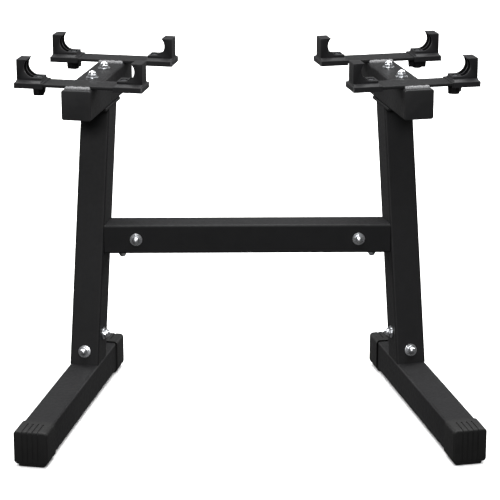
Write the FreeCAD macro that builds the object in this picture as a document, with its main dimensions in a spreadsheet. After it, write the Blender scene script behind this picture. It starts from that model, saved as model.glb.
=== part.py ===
"""Dumbbell rack: two toed-out side frames, a crossbar and eight moulded saddles.

Every length is in millimetres and every angle in degrees. Each side frame is drawn in its
own upright plane: x runs across it, y runs from front to back with its zero at the foot of
the upright's front face, and z is the height above the floor.
"""
import FreeCAD, Part
import math
import os

import Sketcher
from FreeCAD import Vector

PARTS_FOLDER = "parts"
FILE_NAME_LIMIT = 60

# Driving sizes: name, value, what it is.
SIZES = (
    ("tube_width", 60, "outer width and height of every square tube"),
    ("tube_wall", 2.5, "wall of every square tube"),
    ("tube_corner", 4.5, "outer corner radius of every square tube"),
    ("side_half", 332, "mid-plane to the middle of each upright's base"),
    ("toe", 12, "angle by which each foot opens outwards to the front"),
    ("lean", 14, "angle by which each upright leans back"),
    ("foot_front", 373, "foot tube ahead of the upright"),
    ("foot_back", 191, "foot tube behind the upright's front face"),
    ("cradle_top", 638, "height of the cradle tube's top face"),
    ("cradle_ahead", 108, "cradle tube ahead of the mounting plate"),
    ("cradle_length", 320, "length of the cradle tube"),
    ("cap_wall", 3, "wall of the moulded foot caps"),
    ("cap_sleeve", 52, "length by which a foot cap covers its tube"),
    ("cap_fit", 0.15, "gap between a foot cap and its tube"),
    ("cap_round", 4, "rounding of a foot cap's end edges"),
    ("sole_height", 5, "height of the sole under a foot cap"),
    ("sole_inset", 4, "inset of the sole from the cap's sides"),
    ("groove_count", 4, "number of grooves across a foot cap"),
    ("groove_width", 2.6, "width of a groove in a foot cap"),
    ("groove_depth", 1.6, "depth of a groove in a foot cap"),
    ("groove_pitch", 10, "spacing of the grooves in a foot cap"),
    ("groove_length", 38, "length of the grooves on top of a foot cap"),
    ("plug_flange", 3, "thickness of a tube plug's outer plate"),
    ("plug_round", 2, "rounding of a tube plug's outer plate"),
    ("plug_depth", 22, "length of a tube plug inside its tube"),
    ("plug_fit", 0.2, "gap between a plug and its tube"),
    ("plug_wall", 3, "wall of a plug inside its tube"),
    ("stub_fit", 0.5, "gap between a stub and the tube around it"),
    ("foot_stub_height", 92, "height of the stub welded on each foot"),
    ("mounting_thickness", 6, "thickness of the mounting plate"),
    ("mounting_bolt_inset", 12, "bolt centre to the mounting plate's end"),
    ("nut_gap", 1, "gap between a cradle nut and the weld bead beside it"),
    ("plate_length", 252, "length of a cross plate"),
    ("plate_width", 55, "width of a cross plate"),
    ("plate_thickness", 6, "thickness of a cross plate"),
    ("plate_corner", 2, "corner radius of a cross plate"),
    ("plate_inset", 13, "front cross plate behind the cradle tube's front end"),
    ("plate_pitch", 251, "spacing of the two cross plates"),
    ("crossbar_bottom", 286, "height of the crossbar's underside"),
    ("crossbar_gap", 1, "gap between the crossbar and an upright"),
    ("crossbar_stub_reach", 84, "length of a crossbar stub from the upright"),
    ("crossbar_bolt_inset", 65, "front bolt to the crossbar's end"),
    ("crossbar_under_inset", 36, "lower bolt to the crossbar's end"),
    ("front_bolt_height", 27, "front bolt above the upright's foot"),
    ("side_bolt_height", 55, "side bolt above the upright's foot"),
    ("bolt_radius", 5, "shank radius of the frame bolts"),
    ("bolt_play", 0.5, "gap between a frame bolt and its hole"),
    ("thread_play", 0.05, "gap between a thread and its nut"),
    ("head_flats", 17, "width across flats of a frame bolt's head"),
    ("head_height", 5.5, "height of the hexagon of a frame bolt's head"),
    ("dome_radius", 7.5, "radius of the dome on a frame bolt's head"),
    ("washer_radius", 12.5, "outer radius of a frame washer"),
    ("washer_thickness", 2, "thickness of a frame washer"),
    ("washer_play", 0.25, "gap between a washer and its bolt"),
    ("nut_height", 8, "height of a frame nut"),
    ("thread_end", 2, "thread showing past a nut"),
    ("plate_bead_reach", 7, "weld bead's width on the cradle tube"),
    ("plate_bead_rise", 5.4, "weld bead's height on the cross plate"),
    ("mounting_bead_leg", 5, "leg of the weld bead under the mounting plate"),
    ("saddle_skirt", 3, "wall of a saddle around its cross plate"),
    ("saddle_fit", 0.3, "gap between a saddle and its cross plate"),
    ("saddle_drop", 3, "saddle's wall below the cross plate"),
    ("saddle_length", 55, "saddle's base from the cross plate's end"),
    ("saddle_roof", 2, "saddle's lower ledge above the cross plate"),
    ("saddle_slope_rise", 4, "rise of the saddle's shoulder above its ledge"),
    ("saddle_slope_run", 12, "run of the shoulder at the front and back"),
    ("saddle_end_inset", 2.4, "inset of the column at the outer end"),
    ("saddle_height", 46, "top of a saddle above its cross plate"),
    ("saddle_toe_height", 10.5, "top of a saddle's toe above its cross plate"),
    ("saddle_toe_inset", 5, "toe short of the saddle's base"),
    ("saddle_radius", 20.5, "radius of a saddle's hollow"),
    ("saddle_hollow_centre", 35, "hollow's centre from the cross plate's end"),
    ("saddle_screw_inset", 40, "screw centre from the cross plate's end"),
    ("screw_radius", 4, "shank radius of the saddle screws"),
    ("screw_play", 0.4, "gap between a saddle screw and its hole"),
    ("screw_head_radius", 7, "head radius of the saddle screws"),
    ("screw_head_height", 4, "head height of the saddle screws"),
    ("screw_seat_radius", 7.8, "radius of the recess for a screw's head"),
    ("screw_seat_depth", 5.5, "depth of the recess for a screw's head"),
    ("knob_length", 38, "span of a saddle knob's two wings"),
    ("knob_width", 15, "width of a saddle knob's wings"),
    ("knob_height", 19, "height of a saddle knob's wings"),
    ("knob_round", 3, "corner radius of a saddle knob's wings"),
    ("knob_hub_radius", 10.5, "radius of a saddle knob's hub"),
    ("knob_hub_height", 21, "height of a saddle knob's hub"),
    ("knob_turn_left_front", 84, "turn of the left front knob from its cross plate"),
    ("knob_turn_left_rear", 72, "turn of the left rear knob from its cross plate"),
    ("knob_turn_right_front", 44, "turn of the right front knob from its cross plate"),
    ("knob_turn_right_rear", -12, "turn of the right rear knob from its cross plate"),
)

# Places that follow from the driving sizes.
PLACES = (
    ("bore", "Sizes.tube_width - 2 * Sizes.tube_wall"),
    ("bore_corner", "Sizes.tube_corner - Sizes.tube_wall"),
    ("stub_width", "bore - 2 * Sizes.stub_fit"),
    ("stub_bore", "stub_width - 2 * Sizes.tube_wall"),
    ("stub_corner", "bore_corner - Sizes.stub_fit"),
    ("stub_bore_corner", "stub_corner / 2"),
    ("foot_bottom", "Sizes.sole_height + Sizes.cap_wall"),
    ("foot_top", "foot_bottom + Sizes.tube_width"),
    ("foot_middle", "foot_bottom + Sizes.tube_width / 2"),
    ("cradle_bottom", "Sizes.cradle_top - Sizes.tube_width"),
    ("cradle_middle", "Sizes.cradle_top - Sizes.tube_width / 2"),
    ("upright_top", "cradle_bottom - Sizes.mounting_thickness"),
    ("upright_rise", "upright_top - foot_top"),
    ("upright_top_front", "upright_rise * tan(Sizes.lean)"),
    ("level_depth", "Sizes.tube_width / cos(Sizes.lean)"),
    ("upright_top_back", "upright_top_front + level_depth"),
    ("front_cradle_bolt", "upright_top_front - Sizes.mounting_bead_leg - Sizes.nut_gap"
                          " - Sizes.head_flats / 2"),
    ("rear_cradle_bolt", "upright_top_back + Sizes.mounting_bead_leg + Sizes.nut_gap"
                         " + Sizes.head_flats / 2"),
    ("mounting_start", "front_cradle_bolt - Sizes.mounting_bolt_inset"),
    ("mounting_end", "rear_cradle_bolt + Sizes.mounting_bolt_inset"),
    ("cradle_start", "mounting_start - Sizes.cradle_ahead"),
    ("cradle_end", "cradle_start + Sizes.cradle_length"),
    ("front_plate_start", "cradle_start + Sizes.plate_inset"),
    ("rear_plate_start", "front_plate_start + Sizes.plate_pitch"),
    ("rear_plate_end", "rear_plate_start + Sizes.plate_width"),
    ("crossbar_middle", "Sizes.crossbar_bottom + Sizes.tube_width / 2"),
    ("crossbar_rise", "crossbar_middle - foot_top"),
    ("crossbar_meets", "crossbar_rise * tan(Sizes.lean) + level_depth / 2"),
    ("crossbar_depth", "crossbar_meets * cos(Sizes.toe) - Sizes.tube_width / 2 * sin(Sizes.toe)"),
    ("crossbar_front", "crossbar_depth - Sizes.tube_width / 2"),
    ("side_face_half", "Sizes.side_half - Sizes.tube_width / 2 / cos(Sizes.toe)"),
    ("crossbar_half", "side_face_half - crossbar_front * tan(Sizes.toe)"),
    ("crossbar_bolt_half", "crossbar_half - Sizes.crossbar_bolt_inset"),
    ("crossbar_under_half", "crossbar_half - Sizes.crossbar_under_inset"),
    ("crossbar_stub_half", "crossbar_half - Sizes.crossbar_stub_reach"),
    ("cap_width", "Sizes.tube_width + 2 * Sizes.cap_wall"),
    ("cap_corner", "Sizes.tube_corner + Sizes.cap_wall"),
    ("saddle_side", "Sizes.saddle_skirt + Sizes.saddle_fit"),
    ("saddle_depth", "Sizes.plate_width + 2 * saddle_side"),
    ("saddle_body_depth", "saddle_depth - 2 * Sizes.saddle_slope_run"),
    ("saddle_outer", "saddle_side - Sizes.saddle_end_inset"),
    ("saddle_toe_end", "Sizes.saddle_length - Sizes.saddle_toe_inset"),
    ("saddle_ledge", "Sizes.plate_thickness + Sizes.saddle_roof"),
    ("saddle_slope_top", "saddle_ledge + Sizes.saddle_slope_rise"),
    ("saddle_toe_top", "Sizes.plate_thickness + Sizes.saddle_toe_height"),
    ("saddle_top", "Sizes.plate_thickness + Sizes.saddle_height"),
    ("screw_seat", "saddle_toe_top - Sizes.screw_seat_depth"),
    ("front_reach", "(Sizes.foot_front + Sizes.cap_wall - Sizes.cap_round) * cos(Sizes.toe)"
                    " + (cap_width / 2 - Sizes.cap_round) * sin(Sizes.toe) + Sizes.cap_round"),
    ("back_reach", "(rear_plate_end + saddle_side) * cos(Sizes.toe)"
                   " + (Sizes.plate_length / 2 + saddle_side) * sin(Sizes.toe)"),
    ("depth_shift", "(front_reach - back_reach) / 2"),
)

doc = FreeCAD.newDocument("DumbbellRack")
sub_parts = []


def fill_sheet(name, rows, prefix=""):
    """Make a spreadsheet whose second column holds the aliased values."""
    sheet = doc.addObject("Spreadsheet::Sheet", name)
    for row, entry in enumerate(rows, start=1):
        sheet.set(f"A{row}", entry[0])
        sheet.set(f"B{row}", f"{prefix}{entry[1]}")
        sheet.setAlias(f"B{row}", entry[0])
        if len(entry) > 2:
            sheet.set(f"C{row}", entry[2])
    doc.recompute()
    return sheet


def value(expression):
    """Number that an expression gives now, for a sketch's starting geometry."""
    return float(places.evalExpression(expression))


# Placements, written as expressions


def at(x="0", y="0", z="0", axis="0; 0; 1", angle="0"):
    """Placement at a point, turned about an axis."""
    return f"placement(vector({x}; {y}; {z}); rotation(vector({axis}); {angle}))"


def sign(side):
    """-1 for the left side and 1 for the right side, as seen from the front."""
    return -1 if side == "left" else 1


def yawed(side):
    """Placement of a side frame before the whole rack is centred."""
    return at(x=f"{sign(side)} * Sizes.side_half", angle=f"{sign(side)} * Sizes.toe")


CENTRED = at(y="Places.depth_shift")


def side_frame(side):
    """Placement of a side frame in the finished rack."""
    return f"{CENTRED} * {yawed(side)}"


def keep(piece, label, placement=None):
    """Name a finished sub-part, place it and list it for export."""
    piece.Label = label
    if placement:
        piece.setExpression("Placement", placement)
    sub_parts.append(piece)
    return piece


# Sketches and PartDesign features


def new_body(name):
    """Empty PartDesign body."""
    return doc.addObject("PartDesign::Body", name)


def sketch_on(body, name, plane, x="0", y="0", lift="0"):
    """Sketch on one of the body's origin planes, moved in it by x and y and off it by lift."""
    sketch = body.newObject("Sketcher::SketchObject", f"{body.Name}_{name}")
    support = [item for item in body.Origin.OriginFeatures if item.Role == plane][0]
    sketch.AttachmentSupport = [(support, "")]
    sketch.MapMode = "FlatFace"
    sketch.setExpression("AttachmentOffset.Base.x", x)
    sketch.setExpression("AttachmentOffset.Base.y", y)
    sketch.setExpression("AttachmentOffset.Base.z", lift)
    return sketch


def bind(sketch, name, constraint, expression):
    """Add a named constraint that follows an expression."""
    index = sketch.addConstraint(constraint)
    sketch.renameConstraint(index, name)
    sketch.setExpression(f"Constraints.{name}", expression)


def draw_rectangle(sketch, tag, width, height):
    """Rectangle centred on the sketch's origin."""
    half_x = value(width) / 2
    half_y = value(height) / 2
    corners = [(-half_x, -half_y), (half_x, -half_y), (half_x, half_y), (-half_x, half_y)]
    first = sketch.GeometryCount
    for index in range(4):
        start = Vector(*corners[index], 0)
        end = Vector(*corners[(index + 1) % 4], 0)
        sketch.addGeometry(Part.LineSegment(start, end), False)
    for index in range(4):
        following = first + (index + 1) % 4
        sketch.addConstraint(Sketcher.Constraint("Coincident", first + index, 2, following, 1))
    for index in (0, 2):
        sketch.addConstraint(Sketcher.Constraint("Horizontal", first + index))
        sketch.addConstraint(Sketcher.Constraint("Vertical", first + index + 1))
    sketch.addConstraint(Sketcher.Constraint("Symmetric", first, 1, first + 2, 1, -1, 1))
    across = Sketcher.Constraint("DistanceX", first, 1, first, 2, 2 * half_x)
    upward = Sketcher.Constraint("DistanceY", first + 1, 1, first + 1, 2, 2 * half_y)
    bind(sketch, f"{tag}_width", across, width)
    bind(sketch, f"{tag}_height", upward, height)


def draw_rounded_rectangle(sketch, tag, width, height, corner):
    """Rectangle with four equal round corners, centred on the sketch's origin."""
    radius = value(corner)
    half_x = value(width) / 2
    half_y = value(height) / 2
    inner_x = half_x - radius
    inner_y = half_y - radius
    first = sketch.GeometryCount
    sides = (
        ((-inner_x, -half_y), (inner_x, -half_y)),
        ((half_x, -inner_y), (half_x, inner_y)),
        ((inner_x, half_y), (-inner_x, half_y)),
        ((-half_x, inner_y), (-half_x, -inner_y)),
    )
    for start, end in sides:
        sketch.addGeometry(Part.LineSegment(Vector(*start, 0), Vector(*end, 0)), False)
    centres = ((inner_x, -inner_y), (inner_x, inner_y), (-inner_x, inner_y), (-inner_x, -inner_y))
    for index, centre in enumerate(centres):
        circle = Part.Circle(Vector(*centre, 0), Vector(0, 0, 1), radius)
        start_angle = math.radians(90 * index - 90)
        sketch.addGeometry(Part.ArcOfCircle(circle, start_angle, start_angle + math.pi / 2), False)
    for index in range(4):
        arc = first + 4 + index
        following = first + (index + 1) % 4
        sketch.addConstraint(Sketcher.Constraint("Tangent", first + index, 2, arc, 1))
        sketch.addConstraint(Sketcher.Constraint("Tangent", arc, 2, following, 1))
    for index in (0, 2):
        sketch.addConstraint(Sketcher.Constraint("Horizontal", first + index))
        sketch.addConstraint(Sketcher.Constraint("Vertical", first + index + 1))
    for arc in range(first + 4, first + 7):
        sketch.addConstraint(Sketcher.Constraint("Equal", arc, arc + 1))
    sketch.addConstraint(Sketcher.Constraint("Symmetric", first + 5, 3, first + 7, 3, -1, 1))
    across = Sketcher.Constraint("DistanceX", first + 3, 1, first + 1, 1, 2 * half_x)
    upward = Sketcher.Constraint("DistanceY", first, 2, first + 2, 1, 2 * half_y)
    bind(sketch, f"{tag}_width", across, width)
    bind(sketch, f"{tag}_height", upward, height)
    bind(sketch, f"{tag}_corner", Sketcher.Constraint("Radius", first + 4, radius), corner)


def draw_circle(sketch, tag, radius):
    """Circle centred on the sketch's origin."""
    size = value(radius)
    index = sketch.addGeometry(Part.Circle(Vector(0, 0, 0), Vector(0, 0, 1), size), False)
    sketch.addConstraint(Sketcher.Constraint("Coincident", index, 3, -1, 1))
    bind(sketch, f"{tag}_radius", Sketcher.Constraint("Radius", index, size), radius)


def extrude(body, kind, name, sketch, length, backwards=False, both_ways=False):
    """Pad or Pocket of a sketch, by a bound length."""
    feature = body.newObject(f"PartDesign::{kind}", f"{body.Name}_{name}")
    feature.Profile = sketch
    feature.setExpression("Length", length)
    feature.Reversed = backwards
    if both_ways:
        feature.SideType = "Symmetric"
    return feature


def volume_of(feature):
    """Volume of a feature after a recompute."""
    doc.recompute()
    return feature.Shape.Volume


def cut_pocket(body, name, sketch, length, backwards=False, both_ways=False):
    """Pocket that has to take material away."""
    before = volume_of(body.Tip)
    pocket = extrude(body, "Pocket", name, sketch, length, backwards, both_ways)
    if volume_of(pocket) >= before:
        raise RuntimeError(f"{body.Name} {name}: the pocket cuts nothing")
    return pocket


# Tubes and flat bars


def tube_along_depth(name, start, end, middle):
    """Square tube that runs from front to back, centred on a height."""
    body = new_body(name)
    section = sketch_on(body, "section", "XZ_Plane", y=middle, lift=f"-({start})")
    draw_rounded_rectangle(section, "outer", "Sizes.tube_width", "Sizes.tube_width",
                           "Sizes.tube_corner")
    draw_rounded_rectangle(section, "bore", "Places.bore", "Places.bore", "Places.bore_corner")
    extrude(body, "Pad", "run", section, f"({end}) - ({start})", backwards=True)
    return body


def leaning_tube(name, width, bore, corner, bore_corner, rise):
    """Tube that stands on the foot and leans back, cut level at both ends."""
    body = new_body(name)
    section = sketch_on(body, "section", "XY_Plane", y="Places.level_depth / 2",
                        lift="Places.foot_top")
    slope = "cos(Sizes.lean)"
    draw_rounded_rectangle(section, "outer", width, f"{width} / {slope}", corner)
    draw_rounded_rectangle(section, "bore", bore, f"{bore} / {slope}", bore_corner)
    pad = extrude(body, "Pad", "rise", section, rise)
    pad.UseCustomVector = True
    pad.AlongSketchNormal = True
    pad.setExpression("Direction.x", "0")
    pad.setExpression("Direction.y", "sin(Sizes.lean)")
    pad.setExpression("Direction.z", "cos(Sizes.lean)")
    return body


def tube_across(name, width, bore, corner, bore_corner, start, end):
    """Square tube that runs across the rack at the crossbar's place."""
    body = new_body(name)
    section = sketch_on(body, "section", "YZ_Plane", x="Places.crossbar_depth",
                        y="Places.crossbar_middle", lift=start)
    draw_rounded_rectangle(section, "outer", width, width, corner)
    draw_rounded_rectangle(section, "bore", bore, bore, bore_corner)
    extrude(body, "Pad", "run", section, f"({end}) - ({start})")
    return body


def level_plate(name, width, depth, thickness, corner, middle, bottom):
    """Flat plate with round corners, centred across its side frame."""
    body = new_body(name)
    outline = sketch_on(body, "outline", "XY_Plane", y=middle, lift=bottom)
    draw_rounded_rectangle(outline, "plate", width, depth, corner)
    extrude(body, "Pad", "plate", outline, thickness)
    return body


# Primitives and booleans


def cylinder(name, radius, length, placement):
    """Cylinder along its own +z from its placement."""
    solid = doc.addObject("Part::Cylinder", name)
    solid.setExpression("Radius", radius)
    solid.setExpression("Height", length)
    solid.setExpression("Placement", placement)
    return solid


def hexagon(name, flats, height, placement):
    """Hexagonal prism along its own +z from its placement."""
    solid = doc.addObject("Part::Prism", name)
    solid.Polygon = 6
    solid.setExpression("Circumradius", f"{flats} / sqrt(3)")
    solid.setExpression("Height", height)
    solid.setExpression("Placement", placement)
    return solid


def fuse(name, pieces, placement=None):
    """One solid made of several."""
    joined = doc.addObject("Part::MultiFuse", name)
    joined.Shapes = pieces
    if placement:
        joined.setExpression("Placement", placement)
    return joined


def cut(name, base, tools, placement=None):
    """A solid less the tools."""
    tool = tools[0]
    if len(tools) > 1:
        tool = doc.addObject("Part::Compound", f"{name}_tools")
        tool.Links = tools
    result = doc.addObject("Part::Cut", name)
    result.Base = base
    result.Tool = tool
    if placement:
        result.setExpression("Placement", placement)
    return result


def group(label, pieces):
    """Identical separate pieces kept as one sub-part."""
    compound = doc.addObject("Part::Compound", label)
    compound.Links = pieces
    return keep(compound, label)


def beyond_side_face(name, side, gap):
    """Block that takes everything from an upright's inner face outwards."""
    block = doc.addObject("Part::Box", name)
    reach = "2 * Sizes.side_half"
    for size in ("Length", "Width", "Height"):
        block.setExpression(size, reach)
    inner = f"Sizes.tube_width / 2 + {gap}"
    corner = f"{inner} - {reach}" if side == "left" else f"-({inner})"
    block.setExpression("Placement", f"{yawed(side)} * {at(x=corner, y='-Sizes.side_half')}")
    return block


# Fasteners: each has its seat on its own z = 0 and its head towards +z


def domed_bolt(name, placement, shank):
    """Hexagon bolt with a domed head."""
    head = hexagon(f"{name}_head", "Sizes.head_flats", "Sizes.head_height", at())
    dome = doc.addObject("Part::Sphere", f"{name}_dome")
    dome.Angle1 = 0
    dome.setExpression("Radius", "Sizes.dome_radius")
    dome.setExpression("Placement", at(z="Sizes.head_height"))
    stem = cylinder(f"{name}_stem", "Sizes.bolt_radius", shank, at(z=f"-({shank})"))
    lifted = f"{placement} * {at(z='Sizes.washer_thickness')}"
    return fuse(name, [head, dome, stem], lifted)


def flat_washer(name, placement):
    """Plain washer."""
    disc = cylinder(f"{name}_disc", "Sizes.washer_radius", "Sizes.washer_thickness", at())
    bore = cylinder(f"{name}_bore", "Sizes.bolt_radius + Sizes.washer_play",
                    "Sizes.washer_thickness", at())
    return cut(name, disc, [bore], placement)


def hex_nut(name, placement, depth):
    """Hexagon nut whose face is a depth below the bolt's seat."""
    block = hexagon(f"{name}_block", "Sizes.head_flats", "Sizes.nut_height", at())
    bore = cylinder(f"{name}_bore", "Sizes.bolt_radius + Sizes.thread_play", "Sizes.nut_height",
                    at())
    return cut(name, block, [bore], f"{placement} * {at(z=f'-({depth}) - Sizes.nut_height')}")


def bolt_hole(name, placement, depth):
    """Drill that runs from above a bolt's seat to a depth below it."""
    above = "Sizes.washer_thickness"
    return cylinder(name, "Sizes.bolt_radius + Sizes.bolt_play", f"{depth} + 2 * {above}",
                    f"{placement} * {at(z=f'-({depth}) - {above}')}")


def bolt_set(name, placement, grip):
    """Bolt, washer and nut that clamp a grip."""
    shank = f"Sizes.washer_thickness + {grip} + Sizes.nut_height + Sizes.thread_end"
    bolt = domed_bolt(f"{name}_bolt", placement, shank)
    washer = flat_washer(f"{name}_washer", placement)
    nut = hex_nut(f"{name}_nut", placement, grip)
    return bolt, washer, nut


DOUBLE_WALL = "2 * Sizes.tube_wall + Sizes.stub_fit"
CRADLE_GRIP = "Sizes.tube_width + Sizes.mounting_thickness"


def upright_front_bolt_place():
    """Front bolt of an upright, square to its leaning front face."""
    return at(y="Sizes.front_bolt_height * sin(Sizes.lean)",
              z="Places.foot_top + Sizes.front_bolt_height * cos(Sizes.lean)",
              axis="1; 0; 0", angle="90 - Sizes.lean")


def upright_side_bolt_place(side):
    """Side bolt of an upright, on its inner face."""
    return at(x=f"{-sign(side)} * Sizes.tube_width / 2",
              y="Sizes.side_bolt_height * tan(Sizes.lean) + Places.level_depth / 2",
              z="Places.foot_top + Sizes.side_bolt_height",
              axis="0; 1; 0", angle=f"{-sign(side)} * 90")


def cradle_bolt_place(depth):
    """Bolt that goes down through the cradle tube."""
    return at(y=depth, z="Sizes.cradle_top")


def crossbar_front_bolt_place(side):
    """Bolt in the crossbar's front face."""
    return at(x=f"{sign(side)} * Places.crossbar_bolt_half", y="Places.crossbar_front",
              z="Places.crossbar_middle", axis="1; 0; 0", angle="90")


def crossbar_under_bolt_place(side):
    """Bolt in the crossbar's underside."""
    return at(x=f"{sign(side)} * Places.crossbar_under_half", y="Places.crossbar_depth",
              z="Sizes.crossbar_bottom", axis="1; 0; 0", angle="180")


# Foot


def make_foot_tube(side):
    """Tube that lies along the floor, clear of it by the caps' soles."""
    tube = tube_along_depth(f"{side}_foot", "-Sizes.foot_front", "Sizes.foot_back",
                            "Places.foot_middle")
    keep(tube, f"{side}_foot_tube", side_frame(side))


def edges_at_depth(shape, depth):
    """Names of the edges that lie in the plane y = depth."""
    names = []
    for index, edge in enumerate(shape.Edges, start=1):
        if all(abs(vertex.Y - depth) < 1e-6 for vertex in edge.Vertexes):
            names.append(f"Edge{index}")
    return names


def round_end(body, depth, radius):
    """Round the edges of a body's end face."""
    doc.recompute()
    rounded = body.Tip
    fillet = body.newObject("PartDesign::Fillet", f"{body.Name}_round")
    fillet.Base = (rounded, edges_at_depth(rounded.Shape, depth))
    fillet.setExpression("Radius", radius)


def repeat_grooves(body, name, groove, sketch):
    """Equal grooves, spread across the cap."""
    pattern = body.newObject("PartDesign::LinearPattern", f"{body.Name}_{name}")
    pattern.Originals = [groove]
    pattern.Direction = (sketch, ["H_Axis"])
    pattern.setExpression("Length", "(Sizes.groove_count - 1) * Sizes.groove_pitch")
    pattern.setExpression("Occurrences", "Sizes.groove_count")
    body.Tip = pattern
    doc.recompute()


def make_foot_cap(side, end):
    """Moulded cap: a sleeve around the tube's end, a sole below and grooves on top and end."""
    body = new_body(f"{side}_{end}_cap")
    outline = sketch_on(body, "outline", "XZ_Plane", lift="Sizes.cap_wall")
    draw_rounded_rectangle(outline, "cap", "Places.cap_width", "Places.cap_width",
                           "Places.cap_corner")
    extrude(body, "Pad", "sleeve", outline, "Sizes.cap_wall + Sizes.cap_sleeve", backwards=True)
    round_end(body, -value("Sizes.cap_wall"), "Sizes.cap_round")
    bore = sketch_on(body, "bore", "XZ_Plane")
    draw_rounded_rectangle(bore, "tube", "Sizes.tube_width + 2 * Sizes.cap_fit",
                           "Sizes.tube_width + 2 * Sizes.cap_fit", "Sizes.tube_corner")
    cut_pocket(body, "hollow", bore, "Sizes.cap_sleeve")
    sole = sketch_on(body, "sole", "XY_Plane", y="(Sizes.cap_sleeve - Sizes.cap_wall) / 2",
                     lift="-Places.cap_width / 2")
    draw_rectangle(sole, "sole", "Places.cap_width - 2 * Places.cap_corner",
                   "Sizes.cap_sleeve + Sizes.cap_wall - 2 * Sizes.sole_inset")
    extrude(body, "Pad", "foot", sole, "Sizes.sole_height", backwards=True)
    start = "-(Sizes.groove_count - 1) * Sizes.groove_pitch / 2"
    top = sketch_on(body, "top_groove", "XY_Plane", x=start,
                    y="Sizes.groove_length / 2 - Sizes.cap_wall", lift="Places.cap_width / 2")
    draw_rectangle(top, "groove", "Sizes.groove_width", "Sizes.groove_length")
    repeat_grooves(body, "top_grooves", cut_pocket(body, "top_cut", top, "Sizes.groove_depth"), top)
    face = sketch_on(body, "end_groove", "XZ_Plane", x=start, lift="Sizes.cap_wall")
    draw_rectangle(face, "groove", "Sizes.groove_width", "Places.cap_width")
    repeat_grooves(body, "end_grooves", cut_pocket(body, "end_cut", face, "Sizes.groove_depth"),
                   face)
    if end == "front":
        local = at(y="-Sizes.foot_front", z="Places.foot_middle")
    else:
        local = at(y="Sizes.foot_back", z="Places.foot_middle", angle="180")
    keep(body, f"{side}_{end}_foot_cap", f"{side_frame(side)} * {local}")


# Upright


def make_foot_stub(side):
    """Short tube welded on the foot, inside the upright."""
    stub = leaning_tube(f"{side}_stub", "Places.stub_width", "Places.stub_bore",
                        "Places.stub_corner", "Places.stub_bore_corner", "Sizes.foot_stub_height")
    holes = upright_holes(f"{side}_stub", side)
    keep(cut(f"{side}_stub_drilled", stub, holes), f"{side}_foot_stub", side_frame(side))


def upright_holes(name, side):
    """Drills for the two bolts at an upright's base."""
    front = bolt_hole(f"{name}_front_hole", upright_front_bolt_place(), DOUBLE_WALL)
    inner = bolt_hole(f"{name}_side_hole", upright_side_bolt_place(side), DOUBLE_WALL)
    return [front, inner]


def make_upright(side):
    """Leaning tube that carries the cradle."""
    tube = leaning_tube(f"{side}_post", "Sizes.tube_width", "Places.bore", "Sizes.tube_corner",
                        "Places.bore_corner", "Places.upright_rise")
    holes = upright_holes(f"{side}_post", side)
    keep(cut(f"{side}_post_drilled", tube, holes), f"{side}_upright", side_frame(side))


def cradle_holes(name):
    """Drills for the two bolts through the cradle tube."""
    depths = ("Places.front_cradle_bolt", "Places.rear_cradle_bolt")
    return [bolt_hole(f"{name}_hole_{index}", cradle_bolt_place(depth), CRADLE_GRIP)
            for index, depth in enumerate(depths, start=1)]


def make_mounting_plate(side):
    """Plate welded on the upright's level top."""
    plate = level_plate(f"{side}_mount", "Sizes.tube_width",
                        "Places.mounting_end - Places.mounting_start",
                        "Sizes.mounting_thickness", "Sizes.plate_corner",
                        "(Places.mounting_start + Places.mounting_end) / 2", "Places.upright_top")
    drilled = cut(f"{side}_mount_drilled", plate, cradle_holes(f"{side}_mount"))
    keep(drilled, f"{side}_mounting_plate", side_frame(side))


def weld_bead(name, placement, reach, rise, angle, length):
    """Bead of triangular section in a corner, along its own y axis."""
    body = new_body(name)
    section = sketch_on(body, "section", "XZ_Plane")
    bend = math.radians(value(angle))
    across = Vector(value(reach), 0, 0)
    up = Vector(math.cos(bend), math.sin(bend), 0) * value(rise)
    corner = Vector(0, 0, 0)
    for start, end in ((corner, across), (across, up), (up, corner)):
        section.addGeometry(Part.LineSegment(start, end), False)
    for index in range(3):
        joint = Sketcher.Constraint("Coincident", index, 2, (index + 1) % 3, 1)
        section.addConstraint(joint)
    section.addConstraint(Sketcher.Constraint("Coincident", 0, 1, -1, 1))
    section.addConstraint(Sketcher.Constraint("Horizontal", 0))
    bind(section, "reach", Sketcher.Constraint("Distance", 0, value(reach)), reach)
    bind(section, "rise", Sketcher.Constraint("Distance", 2, value(rise)), rise)
    bind(section, "bend", Sketcher.Constraint("Angle", 0, 1, 2, 2, bend), angle)
    extrude(body, "Pad", "bead", section, length, both_ways=True)
    body.setExpression("Placement", placement)
    return body


def make_mounting_welds(side):
    """Beads under the mounting plate, in front of and behind the upright."""
    leg = "Sizes.mounting_bead_leg"
    length = "Sizes.tube_width - 2 * Sizes.tube_corner"
    front = weld_bead(f"{side}_weld_front", welded_at(side, "Places.upright_top_front", "90"),
                      leg, leg, "90 - Sizes.lean", length)
    back = weld_bead(f"{side}_weld_back", welded_at(side, "Places.upright_top_back", "-90"),
                     leg, leg, "90 + Sizes.lean", length)
    group(f"{side}_mounting_welds", [front, back])


def welded_at(side, depth, turn):
    """Placement of a bead that hangs under the mounting plate."""
    local = at(y=depth, z="Places.upright_top", angle=turn)
    flip = at(axis="0; 1; 0", angle="180")
    return f"{side_frame(side)} * {local} * {flip}"


# Cradle


def make_cradle_tube(side):
    """Level tube bolted on the mounting plate."""
    tube = tube_along_depth(f"{side}_cradle", "Places.cradle_start", "Places.cradle_end",
                            "Places.cradle_middle")
    drilled = cut(f"{side}_cradle_drilled", tube, cradle_holes(f"{side}_cradle"))
    keep(drilled, f"{side}_cradle_tube", side_frame(side))


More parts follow.
